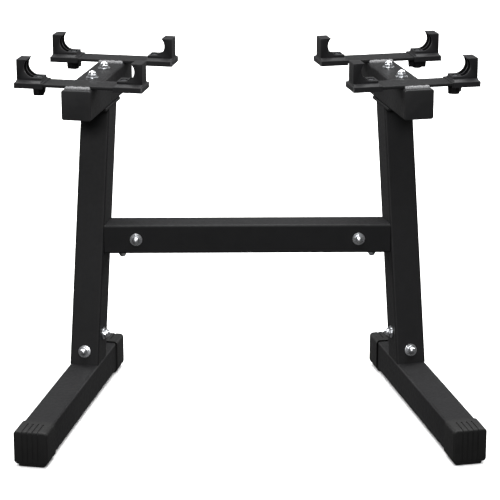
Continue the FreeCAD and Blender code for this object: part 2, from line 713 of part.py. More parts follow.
def make_cradle_plug(side, end):
    """Plug with a flange as wide as the tube and a hollow spigot inside it."""
    body = new_body(f"{side}_{end}_plug")
    outline = sketch_on(body, "flange", "XZ_Plane", lift="Sizes.plug_flange")
    draw_rounded_rectangle(outline, "flange", "Sizes.tube_width", "Sizes.tube_width",
                           "Sizes.tube_corner")
    extrude(body, "Pad", "plate", outline, "Sizes.plug_flange", backwards=True)
    round_end(body, -value("Sizes.plug_flange"), "Sizes.plug_round")
    spigot = sketch_on(body, "spigot", "XZ_Plane")
    draw_rounded_rectangle(spigot, "spigot", "Places.bore - 2 * Sizes.plug_fit",
                           "Places.bore - 2 * Sizes.plug_fit", "Places.bore_corner")
    inner = "Places.bore - 2 * Sizes.plug_fit - 2 * Sizes.plug_wall"
    draw_rectangle(spigot, "inner", inner, inner)
    extrude(body, "Pad", "spigot_run", spigot, "Sizes.plug_depth", backwards=True)
    if end == "front":
        local = at(y="Places.cradle_start", z="Places.cradle_middle")
    else:
        local = at(y="Places.cradle_end", z="Places.cradle_middle", angle="180")
    keep(body, f"{side}_cradle_{end}_plug", f"{side_frame(side)} * {local}")


def plate_start(end):
    """Front edge of the front or the rear cross plate."""
    return f"Places.{end}_plate_start"


def make_cross_plate(side, end):
    """Flat bar across the cradle tube, with a saddle screw near each end."""
    middle = f"{plate_start(end)} + Sizes.plate_width / 2"
    plate = level_plate(f"{side}_{end}_plate", "Sizes.plate_length", "Sizes.plate_width",
                        "Sizes.plate_thickness", "Sizes.plate_corner", middle,
                        "Sizes.cradle_top")
    holes = []
    for reach in (-1, 1):
        x = f"{reach} * (Sizes.plate_length / 2 - Sizes.saddle_screw_inset)"
        hole = cylinder(f"{side}_{end}_plate_hole", "Sizes.screw_radius + Sizes.screw_play",
                        "Sizes.plate_thickness", at(x=x, y=middle, z="Sizes.cradle_top"))
        holes.append(hole)
    drilled = cut(f"{side}_{end}_plate_drilled", plate, holes)
    keep(drilled, f"{side}_{end}_cross_plate", side_frame(side))


def make_plate_welds(side):
    """Beads between the cross plates and the cradle tube's top."""
    length = "Sizes.tube_width - 2 * Sizes.tube_corner"
    edges = (("front_fore", plate_start("front"), "-90"),
             ("front_aft", f"{plate_start('front')} + Sizes.plate_width", "90"),
             ("rear_fore", plate_start("rear"), "-90"))
    beads = []
    for name, depth, turn in edges:
        place = f"{side_frame(side)} * {at(y=depth, z='Sizes.cradle_top', angle=turn)}"
        bead = weld_bead(f"{side}_bead_{name}", place, "Sizes.plate_bead_reach",
                         "Sizes.plate_bead_rise", "90", length)
        beads.append(bead)
    group(f"{side}_cross_plate_welds", beads)


# Saddles: x runs inwards from the cross plate's end, z up from its underside


def draw_hook(sketch):
    """Side view of a saddle's body: a column with a round hollow and a flat toe."""
    outer = -value("Places.saddle_outer")
    foot = value("Places.saddle_ledge")
    top = value("Places.saddle_top")
    toe = value("Places.saddle_toe_top")
    radius = value("Sizes.saddle_radius")
    centre = Vector(value("Sizes.saddle_hollow_centre"), toe + radius, 0)
    end = value("Places.saddle_toe_end")
    tip_rise = top - centre.y
    tip = centre.x - math.sqrt(radius ** 2 - tip_rise ** 2)
    tip_angle = math.pi - math.asin(tip_rise / radius)
    corners = ((outer, foot), (outer, top), (tip, top))
    floor = ((centre.x, toe), (end, toe), (end, foot), (outer, foot))
    for points in (corners, floor):
        for start, finish in zip(points, points[1:]):
            sketch.addGeometry(Part.LineSegment(Vector(*start, 0), Vector(*finish, 0)), False)
    circle = Part.Circle(centre, Vector(0, 0, 1), radius)
    sketch.addGeometry(Part.ArcOfCircle(circle, tip_angle, 1.5 * math.pi), False)
    column, crown, toe_line, toe_end, base, hollow = range(6)
    for first, second in ((column, crown), (toe_line, toe_end), (toe_end, base), (base, column)):
        sketch.addConstraint(Sketcher.Constraint("Coincident", first, 2, second, 1))
    sketch.addConstraint(Sketcher.Constraint("Coincident", crown, 2, hollow, 1))
    sketch.addConstraint(Sketcher.Constraint("Tangent", hollow, 2, toe_line, 1))
    for line in (column, toe_end):
        sketch.addConstraint(Sketcher.Constraint("Vertical", line))
    for line in (crown, toe_line, base):
        sketch.addConstraint(Sketcher.Constraint("Horizontal", line))
    origin = (-1, 1)
    bind(sketch, "outer", Sketcher.Constraint("DistanceX", column, 1, *origin, -outer),
         "Places.saddle_outer")
    bind(sketch, "foot", Sketcher.Constraint("DistanceY", *origin, column, 1, foot),
         "Places.saddle_ledge")
    bind(sketch, "top", Sketcher.Constraint("DistanceY", *origin, column, 2, top),
         "Places.saddle_top")
    bind(sketch, "toe", Sketcher.Constraint("DistanceY", *origin, toe_line, 2, toe),
         "Places.saddle_toe_top")
    bind(sketch, "end", Sketcher.Constraint("DistanceX", *origin, toe_line, 2, end),
         "Places.saddle_toe_end")
    bind(sketch, "hollow_x", Sketcher.Constraint("DistanceX", *origin, hollow, 3, centre.x),
         "Sizes.saddle_hollow_centre")
    bind(sketch, "hollow_radius", Sketcher.Constraint("Radius", hollow, radius),
         "Sizes.saddle_radius")


def draw_slope(sketch):
    """End view of a saddle's shoulder: as wide as the base below and as the column above."""
    low = value("Places.saddle_ledge")
    high = value("Places.saddle_slope_top")
    wide = value("Places.saddle_depth") / 2
    narrow = value("Places.saddle_body_depth") / 2
    corners = ((-wide, low), (wide, low), (narrow, high), (-narrow, high))
    for index in range(4):
        start = Vector(*corners[index], 0)
        finish = Vector(*corners[(index + 1) % 4], 0)
        sketch.addGeometry(Part.LineSegment(start, finish), False)
    for index in range(4):
        following = (index + 1) % 4
        sketch.addConstraint(Sketcher.Constraint("Coincident", index, 2, following, 1))
    for line in (0, 2):
        sketch.addConstraint(Sketcher.Constraint("Symmetric", line, 1, line, 2, -2))
    origin = (-1, 1)
    bind(sketch, "low", Sketcher.Constraint("DistanceY", *origin, 0, 1, low),
         "Places.saddle_ledge")
    bind(sketch, "high", Sketcher.Constraint("DistanceY", *origin, 2, 1, high),
         "Places.saddle_slope_top")
    bind(sketch, "wide", Sketcher.Constraint("DistanceX", 0, 1, 0, 2, 2 * wide),
         "Places.saddle_depth")
    bind(sketch, "narrow", Sketcher.Constraint("DistanceX", 2, 2, 2, 1, 2 * narrow),
         "Places.saddle_body_depth")


def add_base(body):
    """Box around the cross plate's end, with a sloping shoulder on top."""
    base = sketch_on(body, "base", "XY_Plane", x="(Sizes.saddle_length - Places.saddle_side) / 2",
                     lift="-Sizes.saddle_drop")
    draw_rectangle(base, "base", "Sizes.saddle_length + Places.saddle_side",
                   "Places.saddle_depth")
    extrude(body, "Pad", "base_pad", base, "Sizes.saddle_drop + Places.saddle_ledge")
    slope = sketch_on(body, "slope", "YZ_Plane", lift="-Places.saddle_outer")
    draw_slope(slope)
    extrude(body, "Pad", "slope_pad", slope, "Places.saddle_outer + Places.saddle_toe_end")


def make_saddle(side, end, reach):
    """Moulded saddle that wraps the end of a cross plate."""
    body = new_body(f"{side}_{end}_{reach}")
    add_base(body)
    side_view = sketch_on(body, "hook", "XZ_Plane")
    draw_hook(side_view)
    extrude(body, "Pad", "hook_pad", side_view, "Places.saddle_body_depth", both_ways=True)
    slot = sketch_on(body, "slot", "XY_Plane",
                     x="(Sizes.saddle_length - Sizes.saddle_fit) / 2 + Sizes.saddle_fit",
                     lift="-Sizes.saddle_drop")
    draw_rectangle(slot, "slot", "Sizes.saddle_length + 3 * Sizes.saddle_fit",
                   "Sizes.plate_width + 2 * Sizes.saddle_fit")
    cut_pocket(body, "slot_cut", slot, "Sizes.saddle_drop + Sizes.plate_thickness", backwards=True)
    bore = sketch_on(body, "bore", "XY_Plane", x="Sizes.saddle_screw_inset",
                     lift="Places.saddle_toe_top")
    draw_circle(bore, "bore", "Sizes.screw_radius + Sizes.screw_play")
    cut_pocket(body, "bore_cut", bore, "Places.saddle_toe_top")
    seat = sketch_on(body, "seat", "XY_Plane", x="Sizes.saddle_screw_inset",
                     lift="Places.saddle_toe_top")
    draw_circle(seat, "seat", "Sizes.screw_seat_radius")
    cut_pocket(body, "seat_cut", seat, "Sizes.screw_seat_depth")
    keep(body, f"{side}_{end}_{reach}_saddle", saddle_place(side, end, reach))


def saddle_place(side, end, reach):
    """Placement of the saddle on one end of a cross plate."""
    faces_right = (side == "left") == (reach == "outer")
    direction = -1 if faces_right else 1
    local = at(x=f"{direction} * Sizes.plate_length / 2",
               y=f"{plate_start(end)} + Sizes.plate_width / 2", z="Sizes.cradle_top",
               angle="0" if faces_right else "180")
    return f"{side_frame(side)} * {local}"


def saddle_screw(name, placement, below):
    """Round-headed screw through a saddle, that ends a length below its cross plate."""
    seat = f"{placement} * {at(x='Sizes.saddle_screw_inset', z='Places.screw_seat')}"
    length = f"Places.screw_seat + {below}"
    head = cylinder(f"{name}_head", "Sizes.screw_head_radius", "Sizes.screw_head_height", at())
    stem = cylinder(f"{name}_stem", "Sizes.screw_radius", length, at(z=f"-({length})"))
    return fuse(name, [head, stem], seat)


def saddle_knob(name, placement, turn):
    """Hand knob under a cross plate: a round hub with two wings."""
    below = f"{placement} * {at(x='Sizes.saddle_screw_inset', angle=turn)}"
    wings = new_body(f"{name}_wings")
    outline = sketch_on(wings, "outline", "XY_Plane")
    draw_rounded_rectangle(outline, "wings", "Sizes.knob_length", "Sizes.knob_width",
                           "Sizes.knob_round")
    extrude(wings, "Pad", "wings", outline, "Sizes.knob_height", backwards=True)
    hub = cylinder(f"{name}_hub", "Sizes.knob_hub_radius", "Sizes.knob_hub_height",
                   at(z="-Sizes.knob_hub_height"))
    bore = cylinder(f"{name}_bore", "Sizes.screw_radius + Sizes.thread_play",
                    "Sizes.knob_hub_height", at(z="-Sizes.knob_hub_height"))
    return cut(name, fuse(f"{name}_whole", [wings, hub]), [bore], below)


# Crossbar


def make_crossbar_stub(side):
    """Short tube welded on an upright's inner face, inside the crossbar."""
    span = ["Places.crossbar_stub_half", "Sizes.side_half"]
    if side == "left":
        span = [f"-{half}" for half in reversed(span)]
    tube = tube_across(f"{side}_bar_stub", "Places.stub_width", "Places.stub_bore",
                       "Places.stub_corner", "Places.stub_bore_corner", *span)
    tools = [beyond_side_face(f"{side}_stub_trim", side, "0")]
    tools += crossbar_holes(f"{side}_stub", side)
    keep(cut(f"{side}_bar_stub_trimmed", tube, tools), f"{side}_crossbar_stub", CENTRED)


def crossbar_holes(name, side):
    """Drills for the front and the lower bolt at one end of the crossbar."""
    front = bolt_hole(f"{name}_bar_front_hole", crossbar_front_bolt_place(side), DOUBLE_WALL)
    lower = bolt_hole(f"{name}_bar_lower_hole", crossbar_under_bolt_place(side), DOUBLE_WALL)
    return [front, lower]


def make_crossbar():
    """Tube between the uprights, its ends cut to their inner faces."""
    tube = tube_across("bar", "Sizes.tube_width", "Places.bore", "Sizes.tube_corner",
                       "Places.bore_corner", "-Sizes.side_half", "Sizes.side_half")
    tools = []
    for side in ("left", "right"):
        tools.append(beyond_side_face(f"{side}_bar_trim", side, "Sizes.crossbar_gap"))
        tools += crossbar_holes(f"{side}_bar", side)
    keep(cut("bar_trimmed", tube, tools), "crossbar", CENTRED)


# Fastener groups


def make_frame_fasteners():
    """Bolts, washers and nuts of the frame, grouped by the joint that they hold."""
    joints = {"upright_front": [], "upright_side": [], "cradle": [], "crossbar_front": [],
              "crossbar_under": []}
    for side in ("left", "right"):
        frame = side_frame(side)
        front = f"{frame} * {upright_front_bolt_place()}"
        inner = f"{frame} * {upright_side_bolt_place(side)}"
        joints["upright_front"].append((f"{side}_front", front, DOUBLE_WALL))
        joints["upright_side"].append((f"{side}_side", inner, DOUBLE_WALL))
        for index, depth in enumerate(("Places.front_cradle_bolt", "Places.rear_cradle_bolt")):
            place = f"{frame} * {cradle_bolt_place(depth)}"
            joints["cradle"].append((f"{side}_cradle_{index}", place, CRADLE_GRIP))
        bar_front = f"{CENTRED} * {crossbar_front_bolt_place(side)}"
        bar_under = f"{CENTRED} * {crossbar_under_bolt_place(side)}"
        joints["crossbar_front"].append((f"{side}_bar_front", bar_front, DOUBLE_WALL))
        joints["crossbar_under"].append((f"{side}_bar_under", bar_under, DOUBLE_WALL))
    for joint, entries in joints.items():
        sets = [bolt_set(*entry) for entry in entries]
        for kind, pieces in zip(("bolts", "washers", "nuts"), zip(*sets)):
            group(f"{joint}_{kind}", list(pieces))


def make_saddle_fasteners():
    """Saddle screws, which hold the inner saddles alone and the outer ones with a knob."""
    outer_screws = []
    inner_screws = []
    knobs = []
    for side in ("left", "right"):
        for end in ("front", "rear"):
            name = f"{side}_{end}"
            outer = saddle_place(side, end, "outer")
            inner = saddle_place(side, end, "inner")
            outer_screws.append(saddle_screw(f"{name}_outer_screw", outer,
                                             "Sizes.knob_hub_height"))
            inner_screws.append(saddle_screw(f"{name}_inner_screw", inner, "0"))
            knobs.append(saddle_knob(f"{name}_knob", outer, f"Sizes.knob_turn_{name}"))
    group("saddle_long_screws", outer_screws)
    group("saddle_short_screws", inner_screws)
    group("saddle_knobs", knobs)


def make_side(side):
    """Every piece of one side frame apart from its fasteners."""
    make_foot_tube(side)
    make_foot_stub(side)
    make_upright(side)
    make_mounting_plate(side)
    make_mounting_welds(side)
    make_cradle_tube(side)
    make_plate_welds(side)
    make_crossbar_stub(side)
    for end in ("front", "rear"):
        make_foot_cap(side, end)
        make_cradle_plug(side, end)
        make_cross_plate(side, end)
        for reach in ("outer", "inner"):
            make_saddle(side, end, reach)


def check_document():
    """Stop if any object failed or any sub-part has a bad shape."""
    for item in doc.Objects:
        if "Invalid" in item.State or "Error" in item.State:
            raise RuntimeError(f"{item.Label}: {item.State}")
    for piece in sub_parts:
        if piece.Shape.isNull() or not piece.Shape.isValid():
            raise RuntimeError(f"{piece.Label}: bad shape")
        if len(piece.Label) >= FILE_NAME_LIMIT:
            raise RuntimeError(f"{piece.Label}: name too long")


def write_parts():
    """Write each sub-part to its own STEP file."""
    os.makedirs(PARTS_FOLDER, exist_ok=True)
    for piece in sub_parts:
        piece.Shape.exportStep(os.path.join(PARTS_FOLDER, f"{piece.Label}.step"))
        print(piece.Label, len(piece.Shape.Solids), round(piece.Shape.Volume))


fill_sheet("Sizes", SIZES)
places = fill_sheet("Places", PLACES, prefix="=")
make_crossbar()
for rack_side in ("left", "right"):
    make_side(rack_side)
make_frame_fasteners()
make_saddle_fasteners()
doc.recompute()
check_document()
write_parts()
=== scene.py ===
"""Dumbbell stand: finishes and fine detail over its CAD frame.

Sizes in the classes are in millimetres; meshes and places are in metres. Each side frame is
splayed, so a piece is modelled in its own axes (x across the side frame, y from front to
back, z up) and then placed from the CAD boxes.
"""

import logging
import math
from dataclasses import dataclass
from enum import Enum
from typing import Callable, Iterable, Optional

import bmesh
import bpy
from mathutils import Matrix, Vector


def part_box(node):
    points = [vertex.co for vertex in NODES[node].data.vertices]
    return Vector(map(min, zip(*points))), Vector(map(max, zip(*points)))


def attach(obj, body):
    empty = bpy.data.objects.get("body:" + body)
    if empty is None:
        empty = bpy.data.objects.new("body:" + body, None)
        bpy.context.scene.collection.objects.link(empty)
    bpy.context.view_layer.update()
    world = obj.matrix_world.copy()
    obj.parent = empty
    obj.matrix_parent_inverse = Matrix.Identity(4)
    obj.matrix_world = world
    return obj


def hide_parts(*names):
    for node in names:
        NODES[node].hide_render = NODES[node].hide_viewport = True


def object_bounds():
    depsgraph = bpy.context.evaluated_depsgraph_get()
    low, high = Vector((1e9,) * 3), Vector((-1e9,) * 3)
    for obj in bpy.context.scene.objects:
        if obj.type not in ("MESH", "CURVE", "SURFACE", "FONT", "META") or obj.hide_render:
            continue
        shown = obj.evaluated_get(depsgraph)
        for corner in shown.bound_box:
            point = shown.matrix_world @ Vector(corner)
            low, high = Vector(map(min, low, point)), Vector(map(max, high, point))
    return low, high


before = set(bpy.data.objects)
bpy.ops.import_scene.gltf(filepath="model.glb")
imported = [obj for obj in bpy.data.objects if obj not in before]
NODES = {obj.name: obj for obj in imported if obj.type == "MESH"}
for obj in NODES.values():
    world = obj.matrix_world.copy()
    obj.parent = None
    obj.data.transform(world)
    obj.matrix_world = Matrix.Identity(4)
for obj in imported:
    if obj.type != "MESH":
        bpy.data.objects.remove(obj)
CAD_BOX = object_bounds()

log = logging.getLogger("dumbbell_stand")

MM = 0.001
TOE = math.radians(12)
LEAN = math.radians(14)
TUBE = 60.0
TUBE_CORNER = 4.5

# Points closer than this are merged, in metres: the CAD's loose triangles, then a new piece.
CAD_MERGE = 1e-6
PIECE_MERGE = 1e-7
# How far a point may be off the plane where it is looked for, in millimetres.
NEAR = 0.01
# Length along an axis past which an edge runs along that axis, in millimetres.
LONG = 1.0
# Part of a face's normal along an axis past which the face looks that way.
FACING = 0.9
# How deep the stacked shapes of one piece run into each other, in millimetres.
OVERLAP = 0.5
# How far a cutter runs past the surface that it cuts, in millimetres.
PAST = 3.0
# Span that holds most of the values of a noise texture.
NOISE_SPAN = (0.3, 0.7)


class Named(Enum):
    """Choice whose name is also a word in the names of the CAD nodes."""

    @property
    def label(self) -> str:
        """Word used in the CAD nodes."""
        return self.name.lower()


class Side(Named):
    """Side frame as seen from the front; the value is its sign along X."""

    LEFT = -1
    RIGHT = 1


class End(Named):
    """End of a side frame or of its tube; the value is its sign along the frame's y axis."""

    FRONT = -1
    REAR = 1


class Reach(Named):
    """End of a cross plate, away from the stand's middle or towards it."""

    OUTER = 1
    INNER = -1


class Joint(Named):
    """Bolted joint.

    The value is the axis and the angle that turn an upright bolt to lie as it does here, and
    whether it also turns with its splayed side frame. An angle about Y is mirrored from one
    side frame to the other.
    """

    UPRIGHT_FRONT = ("X", math.pi / 2 - LEAN, True)
    UPRIGHT_SIDE = ("Y", -math.pi / 2, True)
    CROSSBAR_FRONT = ("X", math.pi / 2, False)
    CROSSBAR_UNDER = ("X", math.pi, False)
    CRADLE = ("X", 0.0, True)


# Places


def spot(node: str) -> Vector:
    """Middle of a CAD node's box."""
    low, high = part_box(node)
    return (Vector(low) + Vector(high)) / 2


def level(node: str, top: bool = False) -> float:
    """Lowest or highest height of a CAD node."""
    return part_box(node)[1 if top else 0][2]


def side_of(point: Vector) -> Side:
    """Side frame that a point belongs to."""
    return Side.LEFT if point.x < 0 else Side.RIGHT


def along(side: Side) -> Vector:
    """Direction of a side frame's y axis, from front to back."""
    return Vector((-side.value * math.sin(TOE), math.cos(TOE), 0))


def yawed(side: Side, point: Vector, turn: float = 0.0) -> Matrix:
    """Placement of a piece modelled in millimetres in a side frame's axes.

    Args:
        side: Side frame that the piece belongs to.
        point: Where the piece's own origin goes.
        turn: Turn about the vertical before the side frame's own, in degrees.

    Returns:
        Matrix from the piece's millimetres to metres in the row frame.
    """
    yaw = Matrix.Rotation(side.value * TOE + math.radians(turn), 4, "Z")
    return Matrix.Translation(point) @ yaw @ Matrix.Scale(MM, 4)


def plan_length(node: str) -> float:
    """Length from front to back, in its own axes, of a splayed rectangular node.

    Args:
        node: Name of the CAD node.

    Returns:
        Length in metres.
    """
    low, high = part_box(node)
    wide = high[0] - low[0]
    deep = high[1] - low[1]
    return (deep * math.cos(TOE) - wide * math.sin(TOE)) / math.cos(2 * TOE)


def tube_ends(side: Side, tube: str) -> list[tuple[End, Matrix]]:
    """Places at the two ends of a level tube, for a piece whose outer face looks to -y.

    Args:
        side: Side frame that the tube belongs to.
        tube: Name of the tube's CAD node.

    Returns:
        Each end with the placement there.
    """
    half = plan_length(tube) / 2
    ends = []
    for end, turn in ((End.FRONT, 0), (End.REAR, 180)):
        foot = spot(tube) + along(side) * half * end.value
        ends.append((end, yawed(side, foot, turn)))
    return ends


def islands(node: str) -> list[tuple[Vector, Vector]]:
    """Boxes of the separate solids in a grouped CAD node.

    Args:
        node: Name of the CAD node.

    Returns:
        Lowest and highest corner of each solid, from left to right.
    """
    bm = bmesh.new()
    bm.from_mesh(NODES[node].data)
    bmesh.ops.remove_doubles(bm, verts=bm.verts, dist=CAD_MERGE)
    left = set(bm.verts)
    boxes = []
    while left:
        stack = [left.pop()]
        found = list(stack)
        while stack:
            for edge in stack.pop().link_edges:
                for vert in edge.verts:
                    if vert in left:
                        left.remove(vert)
                        stack.append(vert)
                        found.append(vert)
        low = Vector(min(v.co[i] for v in found) for i in range(3))
        high = Vector(max(v.co[i] for v in found) for i in range(3))
        boxes.append((low, high))
    bm.free()
    return sorted(boxes, key=lambda box: (box[0].x + box[1].x, box[0].y))


# Finishes


def to_linear(code: str) -> tuple[float, float, float, float]:
    """Linear RGBA of an sRGB hex colour.

    Args:
        code: Colour as a hash sign and six hex digits.

    Returns:
        Red, green and blue, and an alpha of 1.
    """
    parts = [int(code[i:i + 2], 16) / 255 for i in (1, 3, 5)]
    linear = [c / 12.92 if c <= 0.04045 else ((c + 0.055) / 1.055) ** 2.4 for c in parts]
    return (linear[0], linear[1], linear[2], 1.0)


def add_node(tree: bpy.types.NodeTree, kind: str, settings: Optional[dict] = None,
             inputs: Optional[dict] = None) -> bpy.types.Node:
    """Add a shader node.

    Args:
        tree: Node tree to add to.
        kind: Type name of the node.
        settings: Values of the node's own properties.
        inputs: Socket name or index to a value, or to an output socket to link from.

    Returns:
        The new node.
    """
    node = tree.nodes.new(kind)
    for name, value in (settings or {}).items():
        setattr(node, name, value)
    for name, value in (inputs or {}).items():
        if isinstance(value, bpy.types.NodeSocket):
            tree.links.new(value, node.inputs[name])
        else:
            node.inputs[name].default_value = value
    return node


@dataclass(frozen=True)
class Finish:
    """Surface with a mottled colour, uneven gloss and a fine grain."""

    name: str
    dark: str
    light: str
    gloss: tuple[float, float]
    specular: float
    grain: float
    relief: float
    mottle: float
    metal: float = 0.0
    coat: float = 0.0
    stretch: tuple[float, float, float] = (1.0, 1.0, 1.0)

    def noise(self, tree: bpy.types.NodeTree, place: bpy.types.NodeSocket, size: float,
              detail: float) -> bpy.types.Node:
        """Noise whose features are about a size in millimetres."""
        return add_node(tree, "ShaderNodeTexNoise", inputs={
            "Vector": place, "Scale": 1 / (size * MM), "Detail": detail, "Roughness": 0.55})

    def grain_height(self, tree: bpy.types.NodeTree,
                     place: bpy.types.NodeSocket) -> bpy.types.NodeSocket:
        """Height of the fine grain, from 0 to 1."""
        return self.noise(tree, place, self.grain, 3.0).outputs["Fac"]

    def material(self) -> bpy.types.Material:
        """Material of this finish, made once.

        Returns:
            The material, which every piece of this finish shares.
        """
        made = bpy.data.materials.get(self.name)
        if made:
            return made
        made = bpy.data.materials.new(self.name)
        made.use_nodes = True
        tree = made.node_tree
        tree.nodes.clear()
        where = add_node(tree, "ShaderNodeTexCoord")
        place = add_node(tree, "ShaderNodeMapping", inputs={
            "Vector": where.outputs["Object"], "Scale": self.stretch}).outputs["Vector"]
        patch = self.noise(tree, place, self.mottle, 4.0).outputs["Fac"]
        tint = add_node(tree, "ShaderNodeMix", {"data_type": "RGBA"}, {
            "Factor": patch, 6: to_linear(self.dark), 7: to_linear(self.light)})
        uneven = self.noise(tree, place, self.mottle / 3, 5.0).outputs["Fac"]
        gloss = add_node(tree, "ShaderNodeMapRange", inputs={
            "Value": uneven, "From Min": NOISE_SPAN[0], "From Max": NOISE_SPAN[1],
            "To Min": self.gloss[0], "To Max": self.gloss[1]})
        bump = add_node(tree, "ShaderNodeBump", inputs={
            "Height": self.grain_height(tree, place), "Distance": self.relief * MM,
            "Strength": 1.0})
        shader = add_node(tree, "ShaderNodeBsdfPrincipled", inputs={
            "Base Color": tint.outputs[2], "Roughness": gloss.outputs["Result"],
            "Normal": bump.outputs["Normal"], "Metallic": self.metal,
            "Specular IOR Level": self.specular, "Coat Weight": self.coat,
            "Coat Roughness": 0.3})
        add_node(tree, "ShaderNodeOutputMaterial", inputs={"Surface": shader.outputs["BSDF"]})
        return made


@dataclass(frozen=True)
class PowderCoat(Finish):
    """Powder coat: fine grains fused over the soft waves of the sprayed film."""

    wave: float = 3.0

    def grain_height(self, tree: bpy.types.NodeTree,
                     place: bpy.types.NodeSocket) -> bpy.types.NodeSocket:
        """Fine grain with a broader wave under it.

        Args:
            tree: Node tree of the material.
            place: Socket that gives the place on the piece.

        Returns:
            Socket that gives the height.
        """
        fine = self.noise(tree, place, self.grain, 2.0).outputs["Fac"]
        broad = self.noise(tree, place, self.wave, 2.0).outputs["Fac"]
        both = add_node(tree, "ShaderNodeMath", {"operation": "MULTIPLY_ADD"}, {
            0: broad, 1: 2.0, 2: fine})
        return both.outputs["Value"]


@dataclass(frozen=True)
class ErodedPlastic(Finish):
    """Moulded plastic with the small pits of a spark-eroded mould."""

    def grain_height(self, tree: bpy.types.NodeTree,
                     place: bpy.types.NodeSocket) -> bpy.types.NodeSocket:
        """Rounded cells, like a fine leather grain.

        Args:
            tree: Node tree of the material.
            place: Socket that gives the place on the piece.

        Returns:
            Socket that gives the height.
        """
        cells = add_node(tree, "ShaderNodeTexVoronoi", {"feature": "SMOOTH_F1"}, {
            "Vector": place, "Scale": 1 / (self.grain * MM), "Smoothness": 0.6})
        return cells.outputs["Distance"]


# Satin black powder-coated steel: a dark film that shows soft grey light on its top faces.
FRAME_COAT = PowderCoat("powder_coated_steel", "#131314", "#1b1b1c", (0.48, 0.62), 0.20,
                        grain=0.7, relief=0.03, mottle=22.0)
# The same film over weld beads, with painted sheen: its colour is mottled into a much lighter
# grey that stands in for the light the ripples catch. It is also rougher.
WELD_COAT_PAINTED_SHEEN = PowderCoat("powder_coated_weld", "#2e2e2f", "#8c8c8e", (0.36, 0.60), 0.5,
                       grain=0.9, relief=0.12, mottle=1.8)
# Bright zinc plating: a clean silver with faint tumbling marks.
ZINC = Finish("zinc_plated_steel", "#c3c6ca", "#e6e7e9", (0.20, 0.36), 0.5,
              grain=0.5, relief=0.02, mottle=4.0, metal=1.0, stretch=(1.0, 1.0, 2.5))
# Hand knobs: deep black, finely grained.
KNOB_POLYMER = ErodedPlastic("moulded_knob_polymer", "#070708", "#101011", (0.42, 0.58), 0.25,
                             grain=0.8, relief=0.04, mottle=9.0)
# Glass-filled nylon saddles: deep black with a soft, pitted sheen.
SADDLE_NYLON = ErodedPlastic("moulded_nylon", "#121213", "#1c1c1e", (0.42, 0.56), 0.30,
                             grain=0.9, relief=0.05, mottle=16.0)
# The same nylon in the sunken channels of the hollow, made darker as painted shade in the
# recess, and duller.
SADDLE_CHANNEL_SHADE = ErodedPlastic("moulded_nylon_core", "#060607", "#0c0c0d", (0.66, 0.82), 0.05,
                            grain=0.9, relief=0.05, mottle=12.0)
# Foot caps: softer and duller than the saddles.
CAP_POLYMER = ErodedPlastic("moulded_cap_polymer", "#131313", "#1d1d1d", (0.52, 0.68), 0.24,
                            grain=1.1, relief=0.07, mottle=18.0)
# Tube plugs: smooth polyethylene with a low sheen.
PLUG_POLYMER = ErodedPlastic("moulded_plug_polymer", "#19191a", "#232324", (0.44, 0.58), 0.30,
                             grain=1.4, relief=0.03, mottle=24.0)
# Paper-white studio floor with a barely visible unevenness.
FLOOR_PAPER = Finish("studio_paper", "#f9f9f9", "#fdfdfd", (0.85, 0.95), 0.1,
                     grain=60.0, relief=0.0, mottle=900.0)


# Mesh tools, in millimetres


def block(low: Iterable[float], high: Iterable[float]) -> bmesh.types.BMesh:
    """Box between two corners.

    Args:
        low: Lowest corner.
        high: Highest corner.

    Returns:
        The new mesh.
    """
    low, high = Vector(low), Vector(high)
    bm = bmesh.new()
    size = Matrix.Diagonal((*(high - low), 1.0))
    bmesh.ops.create_cube(bm, size=1.0, matrix=Matrix.Translation((low + high) / 2) @ size)
    return bm


def drum(radius: float, low: float, high: float, segments: int = 48,
         tip: Optional[float] = None) -> bmesh.types.BMesh:
    """Closed cylinder or cone about z.

    Args:
        radius: Radius at the bottom.
        low: Height of the bottom.
        high: Height of the top.
        segments: Number of sides.
        tip: Radius at the top, if it differs.

    Returns:
        The new mesh.
    """
    bm = bmesh.new()
    bmesh.ops.create_cone(bm, cap_ends=True, segments=segments, radius1=radius,
                          radius2=radius if tip is None else tip, depth=high - low,
                          matrix=Matrix.Translation((0, 0, (low + high) / 2)))
    return bm


def pick(bm: bmesh.types.BMesh, test: Callable[[Vector, Vector], bool]) -> list:
    """Edges whose two ends pass a test."""
    return [e for e in bm.edges if test(e.verts[0].co, e.verts[1].co)]


def along_axis(bm: bmesh.types.BMesh, axis: str) -> list:
    """Edges that run along an axis, named x, y or z."""
    return pick(bm, lambda a, b: abs(getattr(a, axis) - getattr(b, axis)) > LONG)


def ease(bm: bmesh.types.BMesh, edges: list, width: float, segments: int = 3) -> None:
    """Round some edges."""
    bmesh.ops.bevel(bm, geom=edges, offset=width, offset_type="OFFSET", segments=segments,
                    profile=0.5, affect="EDGES", material=-1, clamp_overlap=True)


def ease_sharp(bm: bmesh.types.BMesh, width: float, segments: int = 2,
               angle: float = 40.0) -> None:
    """Round every edge sharper than an angle in degrees.

    Args:
        bm: Mesh to change.
        width: Width of the rounding.
        segments: Number of faces across it.
        angle: Angle in degrees.
    """
    limit = math.radians(angle)
    sharp = [e for e in bm.edges if len(e.link_faces) == 2 and e.calc_face_angle() > limit]
    ease(bm, sharp, width, segments)


def extrude(bm: bmesh.types.BMesh, faces: list, step: Iterable[float]) -> None:
    """Extrude some faces by one step.

    Args:
        bm: Mesh to change.
        faces: Faces to extrude.
        step: Way that they move.
    """
    made = bmesh.ops.extrude_face_region(bm, geom=faces)
    moved = [g for g in made["geom"] if isinstance(g, bmesh.types.BMVert)]
    bmesh.ops.translate(bm, verts=moved, vec=step)


def hollow_out(bm: bmesh.types.BMesh, wall: float, depth: float) -> None:
    """Sink the face that looks to +y inside a wall.

    Args:
        bm: Mesh to change.
        wall: Thickness of the wall that stays.
        depth: Depth of the hollow.
    """
    mouth = [f for f in bm.faces if f.normal.y > FACING]
    bmesh.ops.inset_region(bm, faces=mouth, thickness=wall, use_even_offset=True)
    extrude(bm, mouth, (0, -depth, 0))


